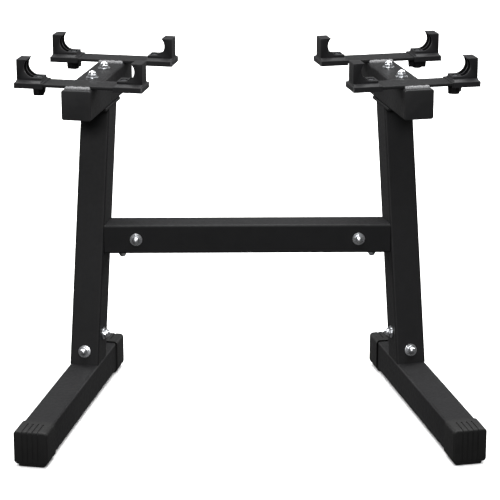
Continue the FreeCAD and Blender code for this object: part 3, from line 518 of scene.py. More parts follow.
def slice_at(bm: bmesh.types.BMesh, point: Iterable[float], normal: Iterable[float],
             clear: bool = False) -> None:
    """Cut along a plane; with clear, drop what lies on its normal's side and close the cut.

    Args:
        bm: Mesh to cut.
        point: Point on the plane.
        normal: Normal of the plane.
        clear: Whether the far side goes.
    """
    geometry = bm.verts[:] + bm.edges[:] + bm.faces[:]
    cut = bmesh.ops.bisect_plane(bm, geom=geometry, plane_co=Vector(point),
                                 plane_no=Vector(normal), clear_outer=clear)
    if clear:
        rim = [g for g in cut["geom_cut"] if isinstance(g, bmesh.types.BMEdge)]
        bmesh.ops.holes_fill(bm, edges=rim)


def add_to(bm: bmesh.types.BMesh, other: bmesh.types.BMesh,
           place: Matrix = Matrix.Identity(4)) -> None:
    """Add another mesh, placed, and free it.

    Args:
        bm: Mesh to add to.
        other: Mesh to add.
        place: Placement of the other mesh.
    """
    carrier = bpy.data.meshes.new("carrier")
    other.to_mesh(carrier)
    other.free()
    carrier.transform(place)
    bm.from_mesh(carrier)
    bpy.data.meshes.remove(carrier)


def carved(body: bmesh.types.BMesh, tools: bmesh.types.BMesh) -> bmesh.types.BMesh:
    """Body less the tools; both are freed.

    Args:
        body: Mesh to cut.
        tools: Mesh that cuts it.

    Returns:
        The new mesh.
    """
    objects = []
    for bm, name in ((body, "body"), (tools, "tools")):
        mesh = bpy.data.meshes.new(name)
        bm.to_mesh(mesh)
        bm.free()
        objects.append(bpy.data.objects.new(name, mesh))
        bpy.context.scene.collection.objects.link(objects[-1])
    modifier = objects[0].modifiers.new("carve", "BOOLEAN")
    modifier.operation = "DIFFERENCE"
    modifier.solver = "EXACT"
    modifier.object = objects[1]
    bpy.context.view_layer.update()
    graph = bpy.context.evaluated_depsgraph_get()
    result = bmesh.new()
    result.from_object(objects[0], graph)
    for item in objects:
        mesh = item.data
        bpy.data.objects.remove(item)
        bpy.data.meshes.remove(mesh)
    return result


def make_piece(name: str, bm: bmesh.types.BMesh, finish: Finish,
               nodes: Iterable[str], smooth: float = 32.0,
               second: Optional[Finish] = None) -> bpy.types.Object:
    """Turn a finished mesh into a piece of the object.

    Args:
        name: Name of the piece.
        bm: Mesh in metres, in the row frame; it is freed.
        finish: Finish of the whole piece.
        nodes: CAD nodes that the piece stands for.
        smooth: Edges sharper than this, in degrees, stay sharp.
        second: Finish of the faces marked with material index 1, if any are.

    Returns:
        The new object.
    """
    bmesh.ops.remove_doubles(bm, verts=bm.verts, dist=PIECE_MERGE)
    bmesh.ops.recalc_face_normals(bm, faces=bm.faces)
    mesh = bpy.data.meshes.new(name)
    bm.to_mesh(mesh)
    bm.free()
    mesh.shade_smooth()
    mesh.set_sharp_from_angle(angle=math.radians(smooth))
    mesh.materials.append(finish.material())
    if second:
        mesh.materials.append(second.material())
    piece = bpy.data.objects.new(name, mesh)
    bpy.context.scene.collection.objects.link(piece)
    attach(piece, "root")
    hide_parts(*nodes)
    log.info("%s: %d faces", name, len(mesh.polygons))
    return piece


# Sub-assemblies


@dataclass
class TubeWork:
    """Square tubes, stubs and inner nuts, whose CAD shapes stay and only get their finish."""

    coated: tuple[str, ...] = ("foot_tube", "foot_stub", "upright", "cradle_tube",
                               "crossbar_stub")
    nuts: tuple[str, ...] = ("upright_front_nuts", "upright_side_nuts", "crossbar_front_nuts",
                             "crossbar_under_nuts", "cradle_nuts")

    def dress(self) -> None:
        """Give the tubes and the nuts their finishes."""
        names = [f"{side.label}_{part}" for side in Side for part in self.coated]
        self.paint(names + ["crossbar"], FRAME_COAT)
        self.paint(self.nuts, ZINC)

    def paint(self, names: Iterable[str], finish: Finish) -> None:
        """Put a finish in every material slot of some CAD nodes.

        Args:
            names: Names of the CAD nodes.
            finish: Finish to give them.
        """
        for name in names:
            for index in range(len(NODES[name].material_slots)):
                NODES[name].material_slots[index].material = finish.material()
            log.info("%s: %s", name, finish.name)


@dataclass
class FlatBars:
    """Cross plates and mounting plates: cut flat bar with softened edges."""

    corner: float = 2.0
    edge: float = 0.8
    cross_length: float = 252.0
    cross_width: float = 55.0
    thickness: float = 6.0

    def plate(self, wide: float, deep: float) -> bmesh.types.BMesh:
        """Flat bar centred on its own origin.

        Args:
            wide: Size along x.
            deep: Size along y.

        Returns:
            The new mesh.
        """
        half = Vector((wide, deep, self.thickness)) / 2
        bm = block(-half, half)
        ease(bm, along_axis(bm, "z"), self.corner, 3)
        flat = self.thickness / 2 - NEAR
        ease(bm, pick(bm, lambda a, b: abs(a.z) > flat and abs(a.z - b.z) < NEAR),
             self.edge, 2)
        return bm

    def build(self) -> None:
        """Make the cross plates and the mounting plates."""
        for side in Side:
            for end in End:
                self.place(side, f"{side.label}_{end.label}_cross_plate", self.cross_length,
                           self.cross_width)
            node = f"{side.label}_mounting_plate"
            self.place(side, node, TUBE, plan_length(node) / MM)

    def place(self, side: Side, node: str, wide: float, deep: float) -> None:
        """Put one bar where its node is.

        Args:
            side: Side frame that the bar belongs to.
            node: Name of its CAD node.
            wide: Size along x.
            deep: Size along y.
        """
        bm = self.plate(wide, deep)
        bm.transform(yawed(side, spot(node)))
        make_piece(f"{node}_bar", bm, FRAME_COAT, [node])


@dataclass
class WeldBeads:
    """Fillet welds with the ripples of a moving weld pool."""

    length: float = 51.0
    pitch: float = 2.6
    ripple: float = 0.16
    steps_per_ripple: int = 6
    sides: int = 28
    lag: float = 0.35
    drifts: tuple[tuple[float, float, float], ...] = ((0.06, 0.41, 0.0), (0.04, 1.13, 1.0))
    end_fade: float = 4.0
    end_thinning: float = 0.35
    plate_reach: float = 7.0
    plate_rise: float = 5.6
    mount_leg: float = 5.0

    def bead(self, reach: float, rise: float, opening: float) -> bmesh.types.BMesh:
        """Bead along y in a corner at the origin.

        Args:
            reach: Size along +x, the corner's first face.
            rise: Size along the second face.
            opening: Angle between the two faces, in degrees.

        Returns:
            The new mesh.
        """
        bm = drum(1.0, -self.length / 2, self.length / 2, self.sides)
        bm.transform(Matrix.Rotation(math.radians(90), 4, "X"))
        count = round(self.length / self.pitch) * self.steps_per_ripple
        for index in range(1, count):
            slice_at(bm, (0, self.length * (index / count - 0.5), 0), (0, 1, 0))
        for vert in bm.verts:
            swell = self.swell(vert.co.y, vert.co.x - vert.co.z)
            vert.co.x *= reach * swell
            vert.co.z *= rise * swell
        turn = math.radians(opening)
        slice_at(bm, (0, 0, 0), (0, 0, -1), clear=True)
        slice_at(bm, (0, 0, 0), (-math.sin(turn), 0, math.cos(turn)), clear=True)
        return bm

    def swell(self, along_bead: float, side: float) -> float:
        """Bead's thickness factor at a place along it, lagging towards its two sides.

        Args:
            along_bead: Place along the bead, from its middle.
            side: Place across it, from -1 to 1.

        Returns:
            Factor on the bead's thickness.
        """
        lag = self.lag * self.pitch * side * side
        phase = math.pi * (along_bead + lag) / self.pitch
        drift = sum(size * math.sin(along_bead * rate + start)
                    for size, rate, start in self.drifts)
        end = max(0.0, abs(along_bead) - self.length / 2 + self.end_fade) / self.end_fade
        thin = 1 - self.end_thinning * end * end
        return (1 - self.ripple * abs(math.cos(phase)) + drift) * thin

    def build(self) -> None:
        """Make every visible bead."""
        for side in Side:
            self.cross_plate_beads(side)
            self.mounting_beads(side)

    def cross_plate_beads(self, side: Side) -> None:
        """Beads along the cross plates' edges, on top of the cradle tube.

        Args:
            side: Side frame that they belong to.
        """
        node = f"{side.label}_cross_plate_welds"
        half = FlatBars().cross_width / 2 * MM
        whole = bmesh.new()
        for end, directions in ((End.FRONT, (-1, 1)), (End.REAR, (-1,))):
            plate = f"{side.label}_{end.label}_cross_plate"
            for direction in directions:
                foot = spot(plate) + along(side) * half * direction
                foot.z = level(plate)
                add_to(whole, self.bead(self.plate_reach, self.plate_rise, 90),
                       yawed(side, foot, 90 * direction))
        # The beads take the weld coat, whose lighter grey mottle is painted sheen.
        make_piece(f"{node}_beads", whole, WELD_COAT_PAINTED_SHEEN, [node],
                   smooth=50)

    def mounting_beads(self, side: Side) -> None:
        """Beads between the upright and the mounting plate's underside.

        Args:
            side: Side frame that they belong to.
        """
        node = f"{side.label}_mounting_welds"
        upright = f"{side.label}_upright"
        half = plan_length(upright) / 2
        depth = TUBE / math.cos(LEAN) * MM
        flip = Matrix.Rotation(math.pi, 4, "Y")
        whole = bmesh.new()
        for direction, offset in ((1, half - depth), (-1, half)):
            foot = spot(upright) + along(side) * offset
            foot.z = level(upright, top=True)
            opening = 90 - direction * math.degrees(LEAN)
            add_to(whole, self.bead(self.mount_leg, self.mount_leg, opening),
                   yawed(side, foot, 90 * direction) @ flip)
        # The beads take the weld coat, whose lighter grey mottle is painted sheen.
        make_piece(f"{node}_beads", whole, WELD_COAT_PAINTED_SHEEN, [node],
                   smooth=50)


@dataclass
class Saddles:
    """Moulded saddles: a base with a sloping shoulder and a hook with a round, ribbed hollow."""

    length: float = 55.0
    skirt: float = 3.3
    skirt_wall: float = 3.0
    width: float = 61.6
    drop: float = 3.0
    ceiling: float = 6.0
    base_top: float = 8.0
    slope_top: float = 12.0
    hook_width: float = 37.6
    hook_outer: float = -0.9
    hook_end: float = 50.0
    top: float = 52.0
    toe_top: float = 16.5
    centre_x: float = 35.0
    radius: float = 20.5
    hollow_steps: int = 26
    channel_width: float = 30.6
    channel_depth: float = 4.4
    channel_draft: float = 0.6
    channel_start: float = 4.0
    channel_stop: float = 3.0
    rib_width: float = 3.0
    screw_x: float = 40.0
    seat_radius: float = 7.8
    seat_depth: float = 5.4
    crown_round: float = 4.5
    column_round: float = 1.5
    soft: float = 1.0
    hook_edge: float = 0.6
    slope_edge: float = 0.4

    def base(self) -> bmesh.types.BMesh:
        """Roof over the cross plate with a skirt on three sides and a shoulder on top.

        Returns:
            The new mesh.
        """
        half = self.width / 2
        bm = block((-self.skirt, -half, self.ceiling), (self.length, half, self.base_top))
        inner = half - self.skirt_wall
        plate_end = self.skirt_wall - self.skirt
        slice_at(bm, (plate_end, 0, 0), (1, 0, 0))
        for y in (-inner, inner):
            slice_at(bm, (0, y, 0), (0, 1, 0))
        ring = [f for f in bm.faces if f.normal.z < -FACING and not self.over_plate(f)]
        extrude(bm, ring, (0, 0, -self.drop - self.ceiling))
        rim = pick(bm, lambda a, b: self.on_rim(a) and self.on_rim(b))
        ease(bm, rim, self.soft, 3)
        add_to(bm, self.shoulder())
        return bm

    def over_plate(self, face: bmesh.types.BMFace) -> bool:
        """Whether a face of the roof lies over the cross plate, inside the skirt.

        Args:
            face: Face of the base.

        Returns:
            True where the skirt doesn't go down.
        """
        middle = face.calc_center_median()
        inside = abs(middle.y) < self.width / 2 - self.skirt_wall
        return inside and middle.x > self.skirt_wall - self.skirt

    def on_rim(self, point: Vector) -> bool:
        """Whether a point lies on the base's outer top edge or on its outer corners.

        Args:
            point: Point of the base.

        Returns:
            True on the edges that are rounded.
        """
        at_side = abs(point.y) > self.width / 2 - NEAR
        at_end = point.x < -self.skirt + NEAR
        on_top = point.z > self.base_top - NEAR
        return (at_side and at_end) or ((at_side or at_end) and on_top)

    def shoulder(self) -> bmesh.types.BMesh:
        """Slope from the base's front and rear edges up to the column.

        Returns:
            The new mesh.
        """
        half = self.width / 2 - self.soft
        bm = block((self.hook_outer, -half, self.base_top - OVERLAP),
                   (self.hook_end, half, self.slope_top))
        for vert in bm.verts:
            if vert.co.z > self.base_top:
                vert.co.y = math.copysign(self.hook_width / 2, vert.co.y)
        ease_sharp(bm, self.slope_edge, 2, 12)
        return bm

    def hook(self) -> bmesh.types.BMesh:
        """Column with a round hollow that runs out into a flat toe.

        Returns:
            The new mesh.
        """
        half = self.hook_width / 2
        rise = self.top - self.toe_top - self.radius
        tip = self.centre_x - math.sqrt(self.radius ** 2 - rise ** 2)
        bm = bmesh.new()
        foot = self.slope_top - OVERLAP
        outline = [(self.hook_end, self.toe_top), (self.hook_end, foot),
                   (self.hook_outer, foot), (self.hook_outer, self.top), (tip, self.top)]
        verts = [bm.verts.new((x, -half, z)) for x, z in outline]
        for pair in zip(verts, verts[1:]):
            bm.edges.new(pair)
        sweep = math.pi / 2 + math.asin(rise / self.radius)
        centre = (self.centre_x, -half, self.toe_top + self.radius)
        bmesh.ops.spin(bm, geom=[verts[-1]], cent=centre, axis=(0, 1, 0), dvec=(0, 0, 0),
                       angle=-sweep, steps=self.hollow_steps)
        ends = [v for v in bm.verts if len(v.link_edges) == 1]
        bm.edges.new(ends)
        face = bmesh.ops.contextual_create(bm, geom=bm.edges[:])["faces"]
        extrude(bm, face, (0, self.hook_width, 0))
        bmesh.ops.recalc_face_normals(bm, faces=bm.faces)
        for x, width in ((self.hook_end, self.soft), (self.hook_outer, self.column_round)):
            ease(bm, pick(bm, lambda a, b: self.upright_at(a, b, x)), width, 3)
        ease(bm, pick(bm, lambda a, b: self.on_crown_end(a) and self.on_crown_end(b)),
             self.crown_round, 5)
        self.sink_channels(bm)
        ease_sharp(bm, self.hook_edge, 2, 50)
        return bm

    def on_crown_end(self, point: Vector) -> bool:
        """Whether a point lies on the crown's outer edge."""
        return point.x < self.hook_outer + NEAR and point.z > self.top - NEAR

    def upright_at(self, a: Vector, b: Vector, x: float) -> bool:
        """Whether an edge stands upright at a place along x."""
        return abs(a.x - x) < NEAR and abs(b.x - x) < NEAR and abs(a.z - b.z) > LONG

    def sink_channels(self, bm: bmesh.types.BMesh) -> None:
        """Sink the hollow on both sides of a middle rib, between its front and rear rims.

        Args:
            bm: Mesh of the hook.
        """
        lanes = ((self.rib_width / 2, self.channel_width / 2),
                 (-self.channel_width / 2, -self.rib_width / 2))
        for lane in lanes:
            for y in lane:
                slice_at(bm, (0, y, 0), (0, 1, 0))
        slice_at(bm, (self.centre_x - self.channel_start, 0, 0), (1, 0, 0))
        slice_at(bm, (0, 0, self.top - self.channel_stop), (0, 0, 1))
        for lane in lanes:
            floor = [f for f in bm.faces if self.in_hollow(f, lane)]
            bmesh.ops.inset_region(bm, faces=floor, thickness=self.channel_draft,
                                   depth=-self.channel_depth, use_boundary=True,
                                   use_even_offset=True)

    def off_axis(self, point: Vector) -> float:
        """Distance of a point from the hollow's axis."""
        return math.hypot(point.x - self.centre_x, point.z - self.toe_top - self.radius)

    def in_hollow(self, face: bmesh.types.BMFace, lane: tuple[float, float]) -> bool:
        """Whether a face is part of one channel's floor.

        Args:
            face: Face of the hook.
            lane: Lowest and highest y of the channel.

        Returns:
            True for the faces that sink.
        """
        middle = face.calc_center_median()
        below = middle.z < self.top - self.channel_stop
        behind = middle.x < self.centre_x - self.channel_start
        curved = abs(self.off_axis(middle) - self.radius) < self.channel_draft / 2
        return lane[0] < middle.y < lane[1] and below and behind and curved

    def in_channel(self, face: bmesh.types.BMFace) -> bool:
        """Whether a face of the finished saddle lies below the hollow's rims.

        Args:
            face: Face of the saddle.

        Returns:
            True for the faces that take the second finish, the darker nylon painted as shade in
            the channels.
        """
        middle = face.calc_center_median()
        slack = 0.2
        depth = self.off_axis(middle) - self.radius
        sunk = slack < depth < self.channel_depth + slack
        inside = abs(middle.y) < self.channel_width / 2
        behind = middle.x < self.centre_x - self.channel_start + self.channel_draft
        return sunk and inside and behind and middle.z > self.slope_top

    def screw_seat(self) -> bmesh.types.BMesh:
        """Cutter for the recess around the screw.

        Returns:
            The new mesh.
        """
        bm = drum(self.seat_radius, self.toe_top - self.seat_depth, self.toe_top + PAST, 40)
        bmesh.ops.translate(bm, verts=bm.verts, vec=(self.screw_x, 0, 0))
        return bm

    def build(self) -> None:
        """Make one saddle and repeat it at the eight plate ends."""
        whole = self.base()
        add_to(whole, carved(self.hook(), self.screw_seat()))
        # Channel faces get the darker nylon: painted shade in the hollow's recesses.
        for face in whole.faces:
            face.material_index = 1 if self.in_channel(face) else 0
        for side in Side:
            for end in End:
                for reach in Reach:
                    self.place(whole, side, end, reach)
        whole.free()

    def place(self, pattern: bmesh.types.BMesh, side: Side, end: End, reach: Reach) -> None:
        """Put a copy of the saddle where its node is.

        Args:
            pattern: Mesh of one saddle.
            side: Side frame.
            end: Cross plate of that frame.
            reach: End of that plate.
        """
        node = f"{side.label}_{end.label}_{reach.label}_saddle"
        faces_right = (side is Side.LEFT) == (reach is Reach.OUTER)
        foot = spot(node)
        foot.z = level(node) + self.drop * MM
        middle = (self.length - self.skirt) / 2
        copy = pattern.copy()
        copy.transform(yawed(side, foot, 0 if faces_right else 180)
                       @ Matrix.Translation((-middle, 0, 0)))
        # The channels take the darker nylon as painted shade.
        make_piece(f"{node}_moulding", copy, SADDLE_NYLON, [node],
                   smooth=40, second=SADDLE_CHANNEL_SHADE)


@dataclass
class FootCaps:
    """Moulded caps with a sleeve, a sole and grooves over the end and the top."""

    size: float = 66.0
    fit: float = 0.15
    sleeve: float = 52.0
    wall: float = 3.0
    corner: float = 7.5
    end_round: float = 4.0
    sole: float = 5.0
    sole_inset: float = 4.0
    sole_corner: float = 3.0
    sole_overlap: float = 1.0
    groove_width: float = 2.6
    groove_depth: float = 1.6
    groove_pitch: float = 10.0
    grooves: int = 4
    groove_length: float = 38.0
    groove_bend: float = 5.5

    def shell(self) -> bmesh.types.BMesh:
        """Cap closed at -y, hollow towards +y, with the tube's end at y = 0.

        Returns:
            The new mesh.
        """
        half = self.size / 2
        bm = block((-half, -self.wall, -half), (half, self.sleeve, half))
        ease(bm, along_axis(bm, "y"), self.corner, 6)
        end = -self.wall + NEAR
        ease(bm, pick(bm, lambda a, b: a.y < end and b.y < end), self.end_round, 5)
        hollow_out(bm, self.wall - self.fit, self.sleeve)
        return bm

    def sole_pad(self) -> bmesh.types.BMesh:
        """Pad that stands on the floor.

        Returns:
            The new mesh.
        """
        half = self.size / 2
        across_sole = half - self.corner
        bm = block((-across_sole, -self.wall + self.sole_inset, -half - self.sole),
                   (across_sole, self.sleeve - self.sole_inset, -half + self.sole_overlap))
        ease(bm, along_axis(bm, "z"), self.sole_corner, 3)
        return bm

    def groove_cutter(self) -> bmesh.types.BMesh:
        """Thin slabs that follow the end face and the top, one for each groove.

        Returns:
            The new mesh.
        """
        tools = bmesh.new()
        half = self.size / 2
        deep = self.groove_depth
        margin = 1.0
        for index in range(self.grooves):
            x = (index - (self.grooves - 1) / 2) * self.groove_pitch
            low_x, high_x = x - self.groove_width / 2, x + self.groove_width / 2
            slab = block((low_x, -self.wall - PAST, -half - PAST),
                         (high_x, self.groove_length, half + PAST))
            core = block((low_x - margin, -self.wall + deep, -half - PAST - margin),
                         (high_x + margin, self.groove_length + margin, half - deep))
            edge = pick(core, lambda a, b: a.y < 0 and b.y < 0 and a.z > 0 and b.z > 0)
            ease(core, edge, self.groove_bend, 5)
            add_to(tools, carved(slab, core))
        return tools

    def build(self) -> None:
        """Make one cap and repeat it at the four foot ends."""
        whole = carved(self.shell(), self.groove_cutter())
        add_to(whole, self.sole_pad())
        for side in Side:
            for end, place in tube_ends(side, f"{side.label}_foot_tube"):
                node = f"{side.label}_{end.label}_foot_cap"
                copy = whole.copy()
                copy.transform(place)
                make_piece(f"{node}_moulding", copy, CAP_POLYMER, [node],
                           smooth=30)
        whole.free()


@dataclass
class TubePlugs:
    """Plugs in the cradle tubes: a rounded flange and a hollow spigot."""

    flange: float = 3.0
    depth: float = 22.0
    wall: float = 3.0
    bore: float = 54.6
    bore_corner: float = 2.0
    edge: float = 1.8

    def plug(self) -> bmesh.types.BMesh:
        """Plug whose flange sits on the tube's end at y = 0, facing -y.

        Returns:
            The new mesh.
        """
        half = TUBE / 2
        bm = block((-half, -self.flange, -half), (half, 0, half))
        ease(bm, along_axis(bm, "y"), TUBE_CORNER, 6)
        front = -self.flange + NEAR
        ease(bm, pick(bm, lambda a, b: a.y < front and b.y < front), self.edge, 4)
        inner = self.bore / 2
        spigot = block((-inner, -OVERLAP, -inner), (inner, self.depth, inner))
        ease(spigot, along_axis(spigot, "y"), self.bore_corner, 3)
        hollow_out(spigot, self.wall, self.depth)
        add_to(bm, spigot)
        return bm

    def build(self) -> None:
        """Make one plug and repeat it at the four cradle ends."""
        whole = self.plug()
        for side in Side:
            for end, place in tube_ends(side, f"{side.label}_cradle_tube"):
                node = f"{side.label}_cradle_{end.label}_plug"
                copy = whole.copy()
                copy.transform(place)
                make_piece(f"{node}_moulding", copy, PLUG_POLYMER, [node])
        whole.free()


@dataclass
class Fasteners:
    """Domed bolts with washers, and the saddles' screws and hand knobs."""

    flats: float = 17.0
    hexagon: float = 5.5
    hexagon_edge: float = 0.9
    hexagon_corner: float = 0.4
    dome: float = 7.5
    shank: float = 5.0
    washer: float = 12.5
    washer_thick: float = 2.0
    washer_edge: float = 0.35
    hole_play: float = 0.25
    short: float = 15.5
    long: float = 78.0
    screw_head: float = 7.0
    screw_height: float = 4.0
    screw_round: float = 1.6
    screw_shank: float = 4.0
    screw_seat: float = 11.0
    socket: float = 2.9
    socket_depth: float = 2.2
    knob_turns: tuple[float, ...] = (84.0, 72.0, -12.0, 44.0)
    knob_length: float = 38.0
    knob_width: float = 15.0
    knob_height: float = 19.0
    knob_taper: tuple[float, float] = (0.94, 0.88)
    knob_corner: float = 2.8
    knob_edge: float = 0.9
    hub: float = 10.5
    hub_height: float = 21.0
    hub_taper: float = 0.93
    hub_edge: float = 1.2
    hub_hole_play: float = 0.6
    hub_hole_depth: float = 2.0

    def ease_top(self, bm: bmesh.types.BMesh, height: float, width: float,
                 segments: int) -> None:
        """Round the edges at a height.

        Args:
            bm: Mesh to change.
            height: Height of the edges.
            width: Width of the rounding.
            segments: Number of faces across it.
        """
        level_edges = pick(bm, lambda a, b: min(a.z, b.z) > height - NEAR)
        ease(bm, level_edges, width, segments)

    def bolt(self, shank: float) -> bmesh.types.BMesh:
        """Bolt along z with the underside of its head at z = 0.

        Args:
            shank: Length under the head.

        Returns:
            The new mesh.
        """
        round_radius = self.flats / math.sqrt(3)
        bm = drum(round_radius, 0, self.hexagon, 6)
        self.ease_top(bm, self.hexagon, self.hexagon_edge, 3)
        ease(bm, along_axis(bm, "z"), self.hexagon_corner, 2)
        crown = bmesh.new()
        bmesh.ops.create_uvsphere(crown, u_segments=40, v_segments=24, radius=self.dome)
        slice_at(crown, (0, 0, 0), (0, 0, -1), clear=True)
        add_to(bm, crown, Matrix.Translation((0, 0, self.hexagon)))
        add_to(bm, drum(self.shank, -shank, OVERLAP, 32))
        return bm

    def ring(self) -> bmesh.types.BMesh:
        """Washer on z = 0 with softened edges and a hole.

        Returns:
            The new mesh.
        """
        bm = drum(self.washer, 0, self.washer_thick, 56)
        caps = [f for f in bm.faces if abs(f.normal.z) > FACING]
        bmesh.ops.inset_individual(bm, faces=caps, use_even_offset=True,
                                   thickness=self.washer - self.shank - self.hole_play)
        bmesh.ops.bridge_loops(bm, edges=list({e for f in caps for e in f.edges}))
        bmesh.ops.delete(bm, geom=caps, context="FACES_ONLY")
        ease_sharp(bm, self.washer_edge, 2, 60)
        return bm

    def screw(self, length: float) -> bmesh.types.BMesh:
        """Socket screw with a low round head on z = 0.

        Args:
            length: Length under the head.

        Returns:
            The new mesh.
        """
        bm = drum(self.screw_head, 0, self.screw_height, 40)
        self.ease_top(bm, self.screw_height, self.screw_round, 4)
        floor = self.screw_height - self.socket_depth
        bm = carved(bm, drum(self.socket, floor, self.screw_height + PAST, 6))
        add_to(bm, drum(self.screw_shank, -length, OVERLAP, 28))
        return bm

    def knob(self) -> bmesh.types.BMesh:
        """Hand knob that hangs from z = 0: two tapered wings on a round hub.

        Returns:
            The new mesh.
        """
        half = Vector((self.knob_length, self.knob_width)) / 2
        bm = block((-half.x, -half.y, -self.knob_height), (half.x, half.y, 0))
        for vert in bm.verts:
            if vert.co.z < -NEAR:
                vert.co.x *= self.knob_taper[0]
                vert.co.y *= self.knob_taper[1]
        ease(bm, along_axis(bm, "z"), self.knob_corner, 4)
        ease_sharp(bm, self.knob_edge, 3, 60)
        hub = drum(self.hub * self.hub_taper, -self.hub_height, 0, 48, tip=self.hub)
        ease_sharp(hub, self.hub_edge, 3, 60)
        hole = drum(self.screw_shank + self.hub_hole_play, -self.hub_height - PAST,
                    -self.hub_height + self.hub_hole_depth, 28)
        add_to(bm, carved(hub, hole))
        return bm

    def seat(self, joint: Joint, box: tuple[Vector, Vector]) -> Matrix:
        """Placement of a bolt's washer, from the washer's box and the joint's direction.

        Args:
            joint: Joint that the bolt belongs to.
            box: Lowest and highest corner of its washer.

        Returns:
            Matrix from the washer's millimetres to metres in the row frame.
        """
        side = side_of(box[0])
        axis, angle, splayed = joint.value
        yaw = Matrix.Rotation(side.value * TOE if splayed else 0.0, 4, "Z")
        lean = Matrix.Rotation(angle * side.value if axis == "Y" else angle, 4, axis)
        middle = Matrix.Translation((box[0] + box[1]) / 2)
        return middle @ yaw @ lean @ Matrix.Scale(MM, 4)

    def build_joint(self, joint: Joint) -> None:
        """Make the bolts and washers of one kind of joint.

        Args:
            joint: Joint to make them for.
        """
        name = joint.label
        shank = self.long if joint is Joint.CRADLE else self.short + self.washer_thick
        bolts, rings = bmesh.new(), bmesh.new()
        half = self.washer_thick / 2
        for box in islands(f"{name}_washers"):
            place = self.seat(joint, box)
            add_to(rings, self.ring(), place @ Matrix.Translation((0, 0, -half)))
            add_to(bolts, self.bolt(shank), place @ Matrix.Translation((0, 0, half)))
        make_piece(f"{name}_domed_bolts", bolts, ZINC, [f"{name}_bolts"],
                   smooth=25)
        make_piece(f"{name}_flat_washers", rings, ZINC, [f"{name}_washers"],
                   smooth=25)

    def build_screws(self, node: str, length: float) -> None:
        """Make the saddle screws of one length.

        Args:
            node: Name of their CAD node.
            length: Length under the head.
        """
        screws = bmesh.new()
        for low, high in islands(node):
            foot = (low + high) / 2
            foot.z = high.z - self.screw_height * MM
            add_to(screws, self.screw(length), yawed(side_of(low), foot))
        make_piece(f"{node}_socketed", screws, ZINC, [node], smooth=25)

    def build_knobs(self) -> None:
        """Make the hand knobs, each left at its own turn."""
        knobs = bmesh.new()
        for (low, high), turn in zip(islands("saddle_knobs"), self.knob_turns):
            foot = (low + high) / 2
            foot.z = high.z
            add_to(knobs, self.knob(), yawed(side_of(low), foot, turn))
        make_piece("saddle_hand_knobs", knobs, KNOB_POLYMER, ["saddle_knobs"],
                   smooth=30)

    def build(self) -> None:
        """Make every fastener that shows."""
        for joint in Joint:
            self.build_joint(joint)
        self.build_screws("saddle_long_screws", self.screw_seat + self.hub_height)
        self.build_screws("saddle_short_screws", self.screw_seat)
        self.build_knobs()


@dataclass(frozen=True)
class Lamp:
    """Soft rectangular light that faces a target; places and sizes are in metres."""

    name: str
    place: tuple[float, float, float]
    size: tuple[float, float]
    power: float
    target: tuple[float, float, float]
    in_gloss: bool = True

    def build(self) -> None:
        """Add the light to the scene."""
        data = bpy.data.lights.new(self.name, "AREA")
        data.shape = "RECTANGLE"
        data.size, data.size_y = self.size
        data.energy = self.power
        light = bpy.data.objects.new(self.name, data)
        light.location = self.place
        toward = Vector(self.target) - Vector(self.place)
        light.rotation_euler = toward.to_track_quat("-Z", "Y").to_euler()
        light.visible_glossy = self.in_gloss
        bpy.context.scene.collection.objects.link(light)


STAND_MIDDLE = (0.0, 0.0, 0.35)
LAMPS = (
    Lamp("key", (-0.5, -4.0, 2.4), (1.8, 1.0), 110.0, STAND_MIDDLE),
    Lamp("top", (0.0, 0.3, 3.4), (4.0, 3.2), 270.0, (0.0, 0.3, 0.0)),
    # It is there to whiten the paper behind the stand, and is kept out of reflections.
    Lamp("floor_wash", (0.0, 5.0, 3.2), (7.0, 4.0), 420.0, (0.0, 5.0, 0.0), in_gloss=False),
    Lamp("left_rear_fill", (-3.2, 2.4, 1.9), (1.6, 1.2), 75.0, STAND_MIDDLE),
    Lamp("right_rear_fill", (3.2, 2.4, 1.9), (1.6, 1.2), 75.0, STAND_MIDDLE),
)


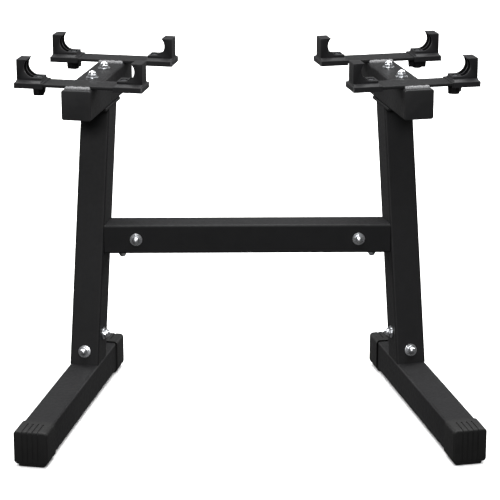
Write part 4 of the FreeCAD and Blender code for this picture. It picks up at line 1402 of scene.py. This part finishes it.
@dataclass
class Studio:
    """Paper floor, surroundings and the camera; places are in metres, angles in degrees."""

    floor_half: float = 14.0
    world_light: float = 0.14
    lens: float = 149.5
    camera_place: tuple[float, float, float] = (-0.05295, -3.93742, 1.5321)
    camera_pitch: float = 17.16
    camera_yaw: float = -0.83

    def build(self) -> None:
        """Set up the whole studio."""
        self.add_floor()
        self.add_camera()
        self.add_world()
        for lamp in LAMPS:
            lamp.build()

    def add_floor(self) -> None:
        """Flat floor at the object's lowest point.

        The camera sees it and its shadows, but it sends no light back to the stand: over a
        white floor the bounce would turn the black side faces grey.
        """
        bm = bmesh.new()
        bmesh.ops.create_grid(bm, x_segments=1, y_segments=1, size=self.floor_half)
        bmesh.ops.translate(bm, verts=bm.verts, vec=(0, 0, CAD_BOX[0][2]))
        mesh = bpy.data.meshes.new("floor")
        bm.to_mesh(mesh)
        bm.free()
        mesh.materials.append(FLOOR_PAPER.material())
        floor = bpy.data.objects.new("floor", mesh)
        bpy.context.scene.collection.objects.link(floor)
        floor.visible_diffuse = False
        floor.visible_glossy = False

    def add_camera(self) -> None:
        """Camera in front of the stand, looking slightly down."""
        data = bpy.data.cameras.new("camera")
        data.lens = self.lens
        data.sensor_width = 36.0
        data.clip_end = 100.0
        camera = bpy.data.objects.new("camera", data)
        camera.location = self.camera_place
        camera.rotation_euler = (math.radians(90 - self.camera_pitch), 0,
                                 math.radians(self.camera_yaw))
        bpy.context.scene.collection.objects.link(camera)
        bpy.context.scene.camera = camera

    def add_world(self) -> None:
        """Even pale surroundings."""
        world = bpy.data.worlds.new("studio")
        world.use_nodes = True
        backdrop = world.node_tree.nodes["Background"]
        backdrop.inputs["Color"].default_value = (1.0, 1.0, 1.0, 1.0)
        backdrop.inputs["Strength"].default_value = self.world_light
        bpy.context.scene.world = world
        bpy.context.scene.view_settings.view_transform = "Standard"


def main() -> None:
    """Build every sub-assembly in order."""
    logging.basicConfig(level=logging.INFO, format="%(message)s")
    Studio().build()
    TubeWork().dress()
    FlatBars().build()
    WeldBeads().build()
    Saddles().build()
    FootCaps().build()
    TubePlugs().build()
    Fasteners().build()


if __name__ == "__main__":
    main()
